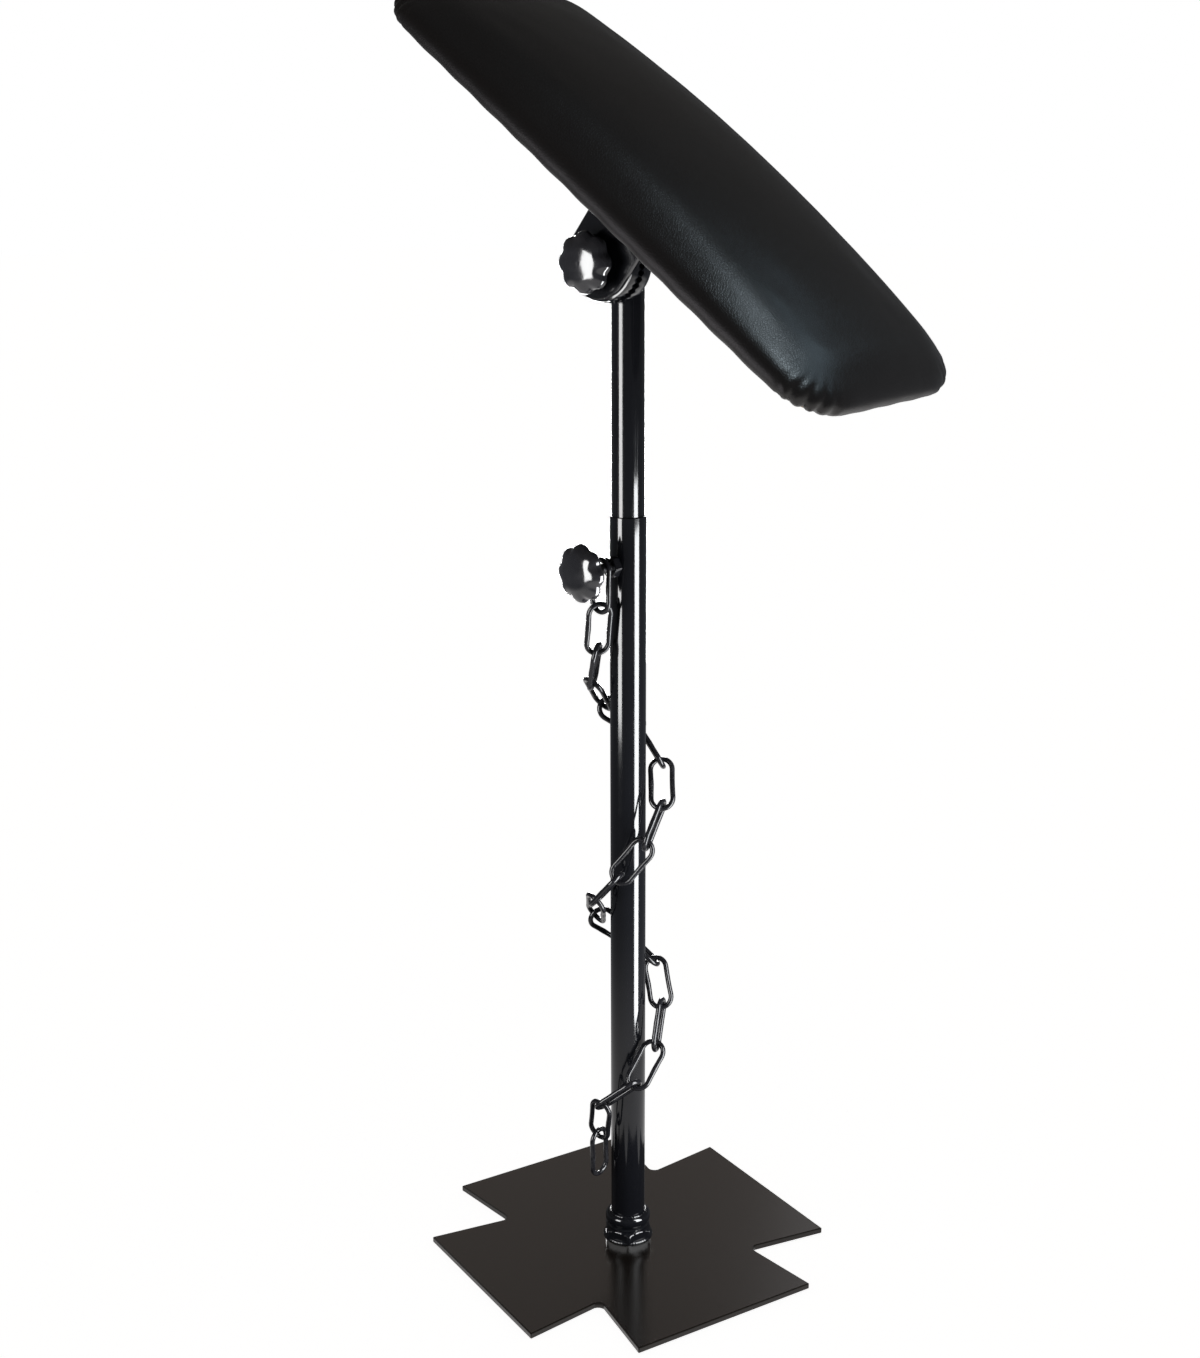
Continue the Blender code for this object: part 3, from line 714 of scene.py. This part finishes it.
def link_path(length, width, wire):
    """The centre line of an oval link, slightly waisted, with the weld at the middle of one side."""
    end = width / 2 - wire
    straight = length / 2 - wire - end
    path = []
    for side in (1, -1):
        for i in range(16):
            x = side * straight * (i / 8 - 1)
            waist = 0.00025 * math.cos(math.pi * x / (2 * straight))
            path.append((x, -side * (end - waist)))
        for i in range(14):
            angle = math.pi * (i / 14 - 0.5)
            path.append((side * (straight + end * math.cos(angle)), side * end * math.sin(angle)))
    return path


def build_chain():
    for node in sorted(name for name in NODES if name.startswith("chain_link_")):
        place = own_frame(node)
        low, high = node_span(node, place)
        length, width, thickness = high - low
        path = link_path(length, width, thickness / 2)

        def wire(i, size=thickness / 2):
            seam = math.exp(-((i - 8) / 1.6) ** 2)
            upset = math.exp(-((i - 5.6) / 0.7) ** 2) + math.exp(-((i - 10.4) / 0.7) ** 2)
            return size * (1 + 0.10 * seam + 0.05 * upset)

        link = bar(f"{node}_fine", path, wire, place, True, 18)
        add_fine(node, link, "stand", "chain_coating")


# ---------------------------------------------------------------- knobs and fasteners


def star_shape(rim, start, end):
    """Lobes that grow from the neck and fade into the dome."""

    def shape(radius, height, angle):
        outer = smoothstep(radius / rim, 0.55, 0.98)
        valley = (0.5 - 0.5 * math.cos(KNOB_LOBES * angle)) ** 1.5
        inside = start < height < end
        return radius - (LOBE_DEPTH * outer * valley if inside else 0.0), height

    return shape


def build_knob(node, place, body, bore):
    low, high = node_span(node, place)
    start, end = low[2], high[2]
    rim = reach(node, place)
    back = start + NECK_LENGTH
    outside = [
        (NECK_RADIUS, back - 0.0012),
        (NECK_RADIUS + 0.0010, back + 0.0004),
        (0.62 * rim, back + 0.0011),
        (rim - 0.0040, back + 0.0013),
        (rim - 0.0014, back + 0.0019),
        (rim - 0.0001, back + 0.0037),
        (rim - 0.0001, end - 0.0088),
        (0.95 * rim, end - 0.0062),
        (0.80 * rim, end - 0.0034),
        (0.55 * rim, end - 0.0013),
        (0.30 * rim, end - 0.0004),
        (0.10 * rim, end),
        (0.02 * rim, end),
    ]
    neck = [(NECK_RADIUS - 0.0006, start), (NECK_RADIUS, start + 0.0006)]
    profile = [(bore, start + KNOB_BORE_DEPTH), (bore, start), *neck, *curve_through(outside, 5)]
    shape = star_shape(rim, back, end + 1)
    knob = turned(f"{node}_fine", profile, place, 160, shape=shape)
    add_fine(node, knob, body, "knob_plastic")


def build_washer(node, place, body):
    low, high = node_span(node, place)
    rim = reach(node, place)
    corners = [(BOLT_BORE, low[2]), (rim, low[2]), (rim, high[2]), (BOLT_BORE, high[2])]
    mesh = turned(f"{node}_fine", rounded(corners, 0.00035, closed=True), place, 64, True)
    add_fine(node, mesh, body, "black_steel")


def thread(pitch, depth, low, high):
    """Pushes a rod's wall in and out along a helix between two heights."""

    def shape(radius, height, angle):
        phase = (height / pitch - angle / (2 * math.pi)) % 1.0
        groove = depth * abs(2 * phase - 1)
        fade = smoothstep(height, low, low + pitch) * smoothstep(high - height, 0, pitch)
        return radius - groove * fade * (1 if radius > depth * 2 else 0), height

    return shape


def threaded_stations(radius, low, high, pitch, steps=6):
    count = int((high - low) / pitch * steps)
    return [(radius, low + (high - low) * i / count) for i in range(count + 1)]


def build_clamp_stud():
    node = "height_knob_stud"
    low, high = node_span(node, CLAMP)
    radius = reach(node, CLAMP)
    tip = [(radius * 0.55, low[2]), (radius * 0.8, low[2] + 0.0004)]
    rod = threaded_stations(radius, low[2] + 0.0012, high[2], THREAD_PITCH)
    shape = thread(THREAD_PITCH, THREAD_DEPTH, low[2] + 0.0012, high[2])
    mesh = turned(f"{node}_fine", tip + rod, CLAMP, 40, shape=shape)
    add_fine(node, mesh, "height_knob", "black_steel")


def build_hinge_bolt():
    node = "tilt_bolt"
    low, high = node_span(node, TILT)
    shank = 0.004
    head_front = -reach("upper_tube", POST) - FIT
    apothem = 0.0065
    profile = [(0.0015, low[2] + 0.0004), (0.0042, low[2] + 0.0003)]
    width = apothem / math.cos(math.pi / 6)
    profile += [(width, low[2] + 0.0003 + 0.0011 * i / 4) for i in range(5)]
    profile += [(width, head_front - 0.0006), (0.0060, head_front - 0.0005), (0.0060, head_front)]
    profile += [(shank, head_front), (shank, high[2] - 0.0006), (shank - 0.0006, high[2])]

    def shape(radius, height, angle):
        if radius <= 0.0061:
            return radius, height
        chamfer = 0.0059 + (height - low[2] - 0.0003) / math.tan(CHAMFER_SLOPE)
        return min(radius, hexagon(apothem, angle), chamfer), height

    mesh = turned(f"{node}_fine", profile, TILT, 96, shape=shape)
    add_fine(node, mesh, "upper_post", "black_steel")


def rosette(node, body, back_is_low):
    """A toothed disc: radial V teeth on its meeting side, a turned rim on the other."""
    low, high = node_span(node, TILT)
    outer = reach(node, TILT)
    inner = outer * 0.58
    back, face = (low[2], high[2]) if back_is_low else (high[2], low[2])
    sign = 1 if back_is_low else -1
    root = face - sign * TOOTH_DEPTH
    edge = 0.0009
    profile = [
        (BOLT_BORE, back),
        (outer - edge, back),
        (outer - 0.3 * edge, back + sign * 0.3 * edge),
        (outer, back + sign * edge),
        (outer, root - sign * 0.0004),
        (outer - 0.0002, root),
        (inner, root),
        (inner - 0.0012, root - sign * 0.0008),
        (BOLT_BORE, root - sign * 0.0008),
    ]

    def shape(radius, height, angle):
        if abs(height - root) > 1e-6:
            return radius, height
        wave = abs(2 * ((angle * ROSETTE_TEETH / (2 * math.pi)) % 1.0) - 1)
        tooth = min(max((wave - 0.12) / 0.76, 0.0), 1.0)
        taper = 0.55 + 0.45 * (radius - inner) / (outer - inner)
        return radius, root + sign * TOOTH_DEPTH * tooth * taper

    mesh = turned(f"{node}_fine", profile, TILT, ROSETTE_TEETH * 8, True, shape)
    add_fine(node, mesh, body, "post_paint")


def build_hinge():
    rosette("post_rosette", "upper_post", True)
    rosette("pad_rosette", "pad", False)
    add_fine("pad_ear", welded_copy("pad_ear", EAR_EDGE, 3), "pad", "post_paint")
    add_fine("mounting_plate", welded_copy("mounting_plate", MOUNT_EDGE, 3), "pad", "post_paint")
    # Beads: the disc to the post, one on each side, and the ear to the mounting plate, front and back.
    low, _ = node_span("post_rosette", TILT)
    across = TILT_AXIS.cross(Vector((0, 0, 1)))
    for name, side in (("disc_weld_near", 1), ("disc_weld_far", -1)):
        origin = HINGE + TILT_AXIS * (low[2] - 0.0026) + across * side * 0.0078 + Vector((0, 0, -0.008))
        bead = line_bead(name, 0.040, HINGE_BEAD, axis_frame(origin, TILT_AXIS), 14)
        add(name, bead, "upper_post", "post_paint")
    ear_low, ear_high = node_span("pad_ear", PAD)
    lengthways = Matrix.Rotation(math.pi / 2, 4, "Z")
    for name, x in (("ear_weld_inner", ear_low[0] - 0.0006), ("ear_weld_outer", ear_high[0] + 0.0006)):
        place = PAD @ Matrix.Translation((x, 0, ear_high[2] - 0.0004)) @ lengthways
        add(name, line_bead(name, 0.048, HINGE_BEAD, place, 18), "pad", "post_paint")


def build_screws():
    for number in range(1, 5):
        node = f"plate_screw_{number}"
        low, high = node_span(node, PAD)
        x, y = (low[0] + high[0]) / 2, (low[1] + high[1]) / 2
        place = PAD @ Matrix.Translation((x, y, 0))
        head = (high[0] - low[0]) / 2
        seat = low[2] + 0.0022
        profile = [(head * i / 12, low[2] + 0.0010 * (i / 12) ** 2.6) for i in range(1, 13)]
        profile += [(head, seat - 0.0002), (0.0024, seat)]
        body = threaded_stations(0.0021, seat + 0.0005, high[2] - 0.003, SCREW_PITCH)
        tip = [(0.0012, high[2] - 0.0015), (0.0003, high[2])]
        turn = thread(SCREW_PITCH, SCREW_DEPTH, seat + 0.0005, high[2] - 0.003)

        def shape(radius, height, angle, low=low, seat=seat, turn=turn):
            if height > seat:
                return turn(radius, height, angle)
            x, y = abs(radius * math.cos(angle)), abs(radius * math.sin(angle))
            slot = min(x, y) < 0.00045 and max(x, y) < 0.0021 and height < low[2] + 0.0008
            return radius, height + (0.0011 * smoothstep(0.0021 - max(x, y), 0, 0.0006) if slot else 0)

        mesh = turned(f"{node}_fine", profile + body + tip, place, 72, shape=shape)
        add_fine(node, mesh, "pad", "black_steel")


# ---------------------------------------------------------------- pad


def cushion_start():
    """The cover's outer form as a fine closed mesh. build_cushion then draws it in a little above the board."""
    shape = bmesh.new()
    for point in node_points("pad_cover", PAD):
        shape.verts.new(point)
    bmesh.ops.remove_doubles(shape, verts=shape.verts, dist=1e-5)
    hull = bmesh.ops.convex_hull(shape, input=shape.verts)
    loose = [item for item in hull["geom_interior"] if isinstance(item, bmesh.types.BMVert)]
    bmesh.ops.delete(shape, geom=loose, context="VERTS")
    bmesh.ops.recalc_face_normals(shape, faces=shape.faces)
    mesh = bpy.data.meshes.new("cushion_start")
    shape.to_mesh(mesh)
    shape.free()
    start = bpy.data.objects.new("cushion_start", mesh)
    bpy.context.scene.collection.objects.link(start)
    remesh = start.modifiers.new("remesh", "REMESH")
    remesh.mode = "VOXEL"
    remesh.voxel_size = VOXEL
    fine = evaluated_copy(start)
    bpy.data.objects.remove(start)
    return fine


def evaluated_copy(obj):
    bpy.context.view_layer.update()
    graph = bpy.context.evaluated_depsgraph_get()
    return bpy.data.meshes.new_from_object(obj.evaluated_get(graph), depsgraph=graph)


def points_of(mesh):
    points = np.empty(len(mesh.vertices) * 3)
    mesh.vertices.foreach_get("co", points)
    return points.reshape(-1, 3)


def smooth_mesh(mesh, passes):
    shape = bmesh.new()
    shape.from_mesh(mesh)
    for _ in range(passes):
        bmesh.ops.smooth_vert(
            shape, verts=shape.verts, factor=0.5, use_axis_x=True, use_axis_y=True, use_axis_z=True
        )
    shape.to_mesh(mesh)
    shape.free()


def inflate(mesh, underside):
    """Cloth with pressure and no gravity, held all over its underside."""
    cloth_object = bpy.data.objects.new("cushion_cloth", mesh)
    bpy.context.scene.collection.objects.link(cloth_object)
    held = cloth_object.vertex_groups.new(name="stapled")
    start = points_of(mesh)
    normals = np.array([vert.normal for vert in mesh.vertices])
    for i, point in enumerate(start):
        held.add([i], 1 - smoothstep(point[2] - underside, HELD_HEIGHT, FREE_HEIGHT), "REPLACE")
    cloth = cloth_object.modifiers.new("cloth", "CLOTH")
    settings = cloth.settings
    settings.vertex_group_mass = "stapled"
    settings.use_pressure = True
    settings.uniform_pressure_force = 2.5
    settings.effector_weights.gravity = 0.0
    settings.quality = 5
    settings.bending_stiffness = 0.5
    cloth.point_cache.frame_start = 1
    cloth.point_cache.frame_end = SIM_FRAMES
    scene = bpy.context.scene
    for step in range(1, SIM_FRAMES + 1):
        scene.frame_set(step)
    swollen = points_of(evaluated_copy(cloth_object))
    scene.frame_set(1)
    bpy.data.objects.remove(cloth_object)
    # The foam under the cover stops it from moving inwards.
    moved = swollen - start
    inwards = np.minimum((moved * normals).sum(1), 0.0)
    moved -= normals * inwards[:, None]
    length = np.linalg.norm(moved, axis=1)
    moved *= np.minimum(1, MOST_MOVEMENT / np.maximum(length, 1e-9))[:, None]
    return start + moved


def pleat(point, half_length, half_width, underside):
    """How far the cover stands out at a point: gathers at the corners and a soft pull between staples."""
    x, y, z = point
    cx, cy = abs(x) - (half_width - PAD_CORNER), abs(y) - (half_length - PAD_CORNER)
    height = z - underside
    edge = smoothstep(PLEAT_TOP - height, 0, PLEAT_FADE)
    out = 0.0
    if cx > 0 and cy > 0:
        angle = math.atan2(cy, cx)
        middle = math.exp(-(((angle - math.pi / 4) / 0.50) ** 2))
        reach_out = smoothstep(math.hypot(cx, cy), 0.020, 0.043)
        seed = 11 * (x > 0) + 5 * (y > 0)
        bend = 0.35 * noise.noise(Vector((angle * 2.2, height * 60, seed)))
        fold = abs(math.sin((angle + bend * 0.4) * PLEATS * 2)) ** 0.8
        out += PLEAT_HEIGHT * (fold - 0.7) * middle * reach_out * edge
    along = y if cx > cy else x
    pull = math.cos(2 * math.pi * along / STAPLE_PITCH)
    out += 0.00025 * pull * smoothstep(0.012 - height, 0, 0.012)
    out += 0.0003 * noise.noise(Vector((x * 9, y * 9, z * 9)))
    out += 0.0001 * noise.noise(Vector((x * 38, y * 38, z * 38 + 4)))
    return out


def build_cushion():
    mesh = cushion_start()
    low, high = node_span("pad_cover", PAD)
    underside = low[2]
    smooth_mesh(mesh, 3)
    points = points_of(mesh)
    normals = np.array([vert.normal for vert in mesh.vertices])
    above = np.array([smoothstep(z - underside, HELD_HEIGHT, FREE_HEIGHT) for z in points[:, 2]])
    points -= normals * (START_INSET * above)[:, None]
    points[:, 2] = np.maximum(points[:, 2], underside)
    mesh.vertices.foreach_set("co", points.ravel())
    mesh.update()
    points = inflate(mesh, underside)
    mesh.vertices.foreach_set("co", points.ravel())
    smooth_mesh(mesh, SMOOTHING)
    cushion = bpy.data.objects.new("pad_cushion", mesh)
    bpy.context.scene.collection.objects.link(cushion)
    finer = cushion.modifiers.new("finer", "SUBSURF")
    finer.levels = finer.render_levels = 1
    fine = evaluated_copy(cushion)
    bpy.data.objects.remove(cushion)
    points = points_of(fine)
    normals = np.array([vert.normal for vert in fine.vertices])
    half_length, half_width = high[1], high[0]
    for i, point in enumerate(points):
        points[i] += normals[i] * pleat(point, half_length, half_width, underside)
    points[:, 2] = np.maximum(points[:, 2], underside)
    fine.vertices.foreach_set("co", points.ravel())
    fine.transform(PAD)
    fine.update()
    fine.shade_smooth()
    piece = add("pad_cushion", fine, "pad", "leatherette", ["pad_cover", "pad_foam"])


def rounded_rectangle(half_width, half_length, corner, steps=10):
    path = []
    for quarter, (sx, sy) in enumerate(((1, 1), (-1, 1), (-1, -1), (1, -1))):
        for i in range(steps + 1):
            angle = math.pi / 2 * (quarter + i / steps)
            x = sx * (half_width - corner) + corner * math.cos(angle)
            y = sy * (half_length - corner) + corner * math.sin(angle)
            path.append((x, y))
    return path


def along_outline(path, spacing):
    """Places at an even spacing along a closed path, each with its direction."""
    corners = [Vector(point) for point in path]
    lengths = [(corners[i - 1] - corner).length for i, corner in enumerate(corners)]
    total = sum(lengths)
    count = round(total / spacing)
    places = []
    travelled = 0.0
    for i, corner in enumerate(corners):
        before = corners[i - 1]
        while len(places) < count and total * len(places) / count < travelled + lengths[i]:
            part = (total * len(places) / count - travelled) / max(lengths[i], 1e-9)
            places.append((before.lerp(corner, part), (corner - before).normalized()))
        travelled += lengths[i]
    return places


def build_dust_cover():
    """The cloth under the pad: a thin sheet that sags a little between its staples, with a folded hem."""
    low, high = node_span("dust_cover", PAD)
    half_width, half_length = high[0], high[1]
    corner = PAD_CORNER - (node_span("pad_cover", PAD)[1][0] - half_width)
    rows = []
    top = high[2]
    insets = [0.0, 0.0012, 0.004, 0.0065, 0.0085, 0.012, 0.018, 0.028, 0.042, 0.060, 0.080]
    hem = {0.0: 0.0001, 0.0012: 0.0011, 0.004: 0.0013, 0.0065: 0.0011, 0.0085: 0.0005}
    for inset in insets:
        row = []
        outline = rounded_rectangle(half_width - inset, half_length - inset, max(corner - inset, 0.004))
        for x, y in outline:
            sag = 0.0006 + 0.00035 * noise.noise(Vector((x * 22, y * 22, 1.7)))
            drop = hem.get(inset, sag) + 0.00012 * noise.noise(Vector((x * 90, y * 90, 5)))
            row.append((x, y, top - drop))
        rows.append(row)
    back = [(x, y, top) for x, y in rounded_rectangle(half_width - 0.0004, half_length - 0.0004, corner)]
    mesh = grid_skin("dust_cover_fine", [back, *rows], PAD, False)
    cover = add_fine("dust_cover", mesh, "pad", "dust_cloth")
    return half_width, half_length, corner, low[2]


def build_staples(half_width, half_length, corner, level):
    """Wire staples through the hem, each a flat crown with its two legs turned into the board."""
    sides = (half_width - STAPLE_INSET, half_length - STAPLE_INSET)
    outline = rounded_rectangle(*sides, corner - STAPLE_INSET)
    shape = bmesh.new()
    upright = Matrix.Rotation(math.pi / 2, 4, "X")
    half, rise = 0.005, 0.0018
    for number, (place, direction) in enumerate(along_outline(outline, STAPLE_PITCH)):
        skew = 0.16 * noise.noise(Vector((number * 1.7, 2.3, 0.4)))
        turn = Matrix.Rotation(math.atan2(direction.y, direction.x) + skew, 4, "Z")
        spot = Matrix.Translation((place.x, place.y, level - 0.0002)) @ turn @ upright
        path = [(-half, rise), (-half, 0.0004), (-half + 0.0004, 0)]
        path += [(half - 0.0004, 0), (half, 0.0004), (half, rise)]
        staple = bar("staple", path, STAPLE_WIRE, PAD @ spot, False, 8)
        shape.from_mesh(staple)
        bpy.data.meshes.remove(staple)
    mesh = finished("staples", shape)
    add("staples", mesh, "pad", "zinc_steel")


# ---------------------------------------------------------------- the rest


def finish_kept_nodes():
    """Gives every node that is still shown its material."""
    slots = {part["node"]: part["material_slot"] for part in frame["record"]["subparts"]}
    for name, node in NODES.items():
        if not node.hide_render:
            node.data.materials.clear()
            node.data.materials.append(LOOKS[slots[name]])


def build_stage():
    """A plain pale floor that shades off into the background."""
    shape = bmesh.new()
    bmesh.ops.create_circle(shape, cap_ends=True, segments=128, radius=FLOOR_RADIUS)
    mesh = finished("floor", shape)
    floor = bpy.data.objects.new("floor", mesh)
    bpy.context.scene.collection.objects.link(floor)
    look = Look("pale_floor", (0.86, 0.86, 0.86), 0.9, specular=0.0)
    look.set("Emission Color", (1.0, 1.0, 1.0, 1))
    look.set("Emission Strength", 0.93)
    mesh.materials.append(look.material)
    floor.visible_glossy = False
    floor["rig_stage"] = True


def build_world():
    """Seen directly it is a white sweep. In reflections it is a dim studio with a bright floor near by."""
    world = bpy.data.worlds.new("studio")
    bpy.context.scene.world = world
    world.use_nodes = True
    tree = world.node_tree
    background = tree.nodes["Background"]
    coordinates = tree.nodes.new("ShaderNodeTexCoord")
    parts = tree.nodes.new("ShaderNodeSeparateXYZ")
    path = tree.nodes.new("ShaderNodeLightPath")
    tree.links.new(coordinates.outputs["Generated"], parts.inputs["Vector"])

    def blend(factor, start, end):
        """A mix of two colours, each a fixed one or another node's output."""
        mix = tree.nodes.new("ShaderNodeMix")
        mix.data_type = "RGBA"
        tree.links.new(factor, mix.inputs["Factor"])
        for socket, colour in (("A", start), ("B", end)):
            if isinstance(colour, tuple):
                mix.inputs[socket].default_value = (*colour, 1)
            else:
                tree.links.new(colour, mix.inputs[socket])
        return mix.outputs["Result"]

    def rise(low, high):
        """Goes smoothly from 0 to 1 as the direction's height goes from low to high."""
        step = tree.nodes.new("ShaderNodeMapRange")
        step.interpolation_type = "SMOOTHSTEP"
        step.inputs["From Min"].default_value = low
        step.inputs["From Max"].default_value = high
        tree.links.new(parts.outputs["Z"], step.inputs["Value"])
        return step.outputs["Result"]

    studio = blend(rise(0.0, 0.5), HORIZON_COLOUR, CEILING_COLOUR)
    reflected = blend(rise(-0.58, -0.38), FLOOR_GLOW, studio)
    seen = blend(path.outputs["Is Camera Ray"], reflected, (1.0, 1.0, 1.0))
    tree.links.new(seen, background.inputs["Color"])
    background.inputs["Strength"].default_value = 1.0


def soft_light(name, centre, target, size, power, colour, receivers):
    """A rectangular softbox that faces a target and falls on a collection of pieces."""
    data = bpy.data.lights.new(name, "AREA")
    data.shape = "RECTANGLE"
    data.size, data.size_y = size
    data.energy = power
    data.color = colour
    light = bpy.data.objects.new(name, data)
    bpy.context.scene.collection.objects.link(light)
    light.location = centre
    light.rotation_mode = "QUATERNION"
    light.rotation_quaternion = (Vector(target) - Vector(centre)).to_track_quat("-Z", "Y")
    light.visible_camera = False
    light.light_linking.receiver_collection = receivers


def polar(azimuth, distance, height):
    angle = math.radians(azimuth)
    return (distance * math.cos(angle), distance * math.sin(angle), height)


def pieces_with(*slots):
    """A collection of the pieces and nodes that have one of these finishes, for a light to fall on."""
    group = bpy.data.collections.new("lit_" + slots[0])
    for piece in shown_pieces():
        if piece.get("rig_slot") in slots:
            group.objects.link(piece)
    return group


def build_lights():
    """Each light falls on one group of finishes, so that its reflection can be placed for that group."""
    gloss = pieces_with("post_paint", "knob_plastic", "chain_coating", "black_steel", "zinc_steel")
    leather = pieces_with("leatherette")
    plate = pieces_with("base_paint")
    middle = (0, 0, 0.61)
    lower_end = (0.05, -0.20, 0.72)
    floor = (0, 0, 0)
    # Name, place, target, size, watts, colour and receivers.
    lights = [
        # The two streaks down the tubes, and one for their back.
        ("left_softbox", polar(185, 1.25, 0.61), middle, (0.54, 0.88), 38, WHITE, gloss),
        ("right_softbox", polar(293, 0.35, 0.305), (0, 0, 0.305), (0.18, 0.59), 12.5, (0.96, 0.98, 1), gloss),
        ("back_softbox", polar(57, 1.25, 0.61), middle, (0.40, 0.88), 28, WHITE, gloss),
        # The sheen along the pad's near shoulder, its fall-off over the lower end, and the pad's sides.
        ("pad_softbox", (0.03, -0.69, 1.55), (-0.02, -0.20, 0.78), (0.13, 0.33), 4.2, (0.76, 0.91, 1), leather),
        ("pad_fill_softbox", (0.42, -0.50, 1.27), lower_end, (0.55, 0.4), 1.4, (0.62, 0.84, 1), leather),
        ("side_panel", (-1.06, 0.10, 0.56), (-0.05, -0.14, 0.80), (0.8, 0.56), 2.5, (1, 0.95, 1), leather),
        ("back_panel", polar(57, 1.3, 0.45), (0, 0, 0.8), (0.9, 0.6), 3.0, WHITE, leather),
        # What the base plate reflects.
        ("plate_panel", polar(60, 3.0, 1.85), floor, (2.3, 1.4), 4.6, (1, 0.88, 0.81), plate),
        ("plate_edge_panel", polar(38, 3.0, 1.85), floor, (1.2, 1.4), 4.6, (0.95, 0.96, 1), plate),
    ]
    for azimuth in (120, 180, 240, 300, 355):
        place = polar(azimuth, 3.0, 1.3)
        lights.append((f"plate_panel_{azimuth}", place, floor, (2.4, 2.0), 6.0, WHITE, plate))
    for light in lights:
        soft_light(*light)


def build_camera():
    data = bpy.data.cameras.new("camera")
    data.sensor_width = 36
    data.lens = CAMERA_LENS
    camera = bpy.data.objects.new("camera", data)
    bpy.context.scene.collection.objects.link(camera)
    camera.location = CAMERA_PLACE
    camera.rotation_mode = "QUATERNION"
    look = Vector(CAMERA_LOOK).to_track_quat("-Z", "Y")
    roll = Matrix.Rotation(CAMERA_ROLL, 4, "Z").to_quaternion()
    camera.rotation_quaternion = look @ roll
    bpy.context.scene.camera = camera


build_camera()
build_tubes()
build_foot()
build_plate()
build_welds()
build_clamp_nut()
build_chain()
build_washer("height_washer", CLAMP, "height_screw")
build_clamp_stud()
build_knob("height_knob_grip", CLAMP, "height_knob", BOLT_BORE)
build_washer("tilt_washer", TILT, "tilt_screw")
build_hinge_bolt()
build_hinge()
build_knob("tilt_knob_grip", TILT, "tilt_knob", INSERT_BORE)
build_screws()
build_cushion()
build_staples(*build_dust_cover())
finish_kept_nodes()
build_stage()
build_world()
build_lights()
bpy.context.scene.view_settings.view_transform = "Standard"
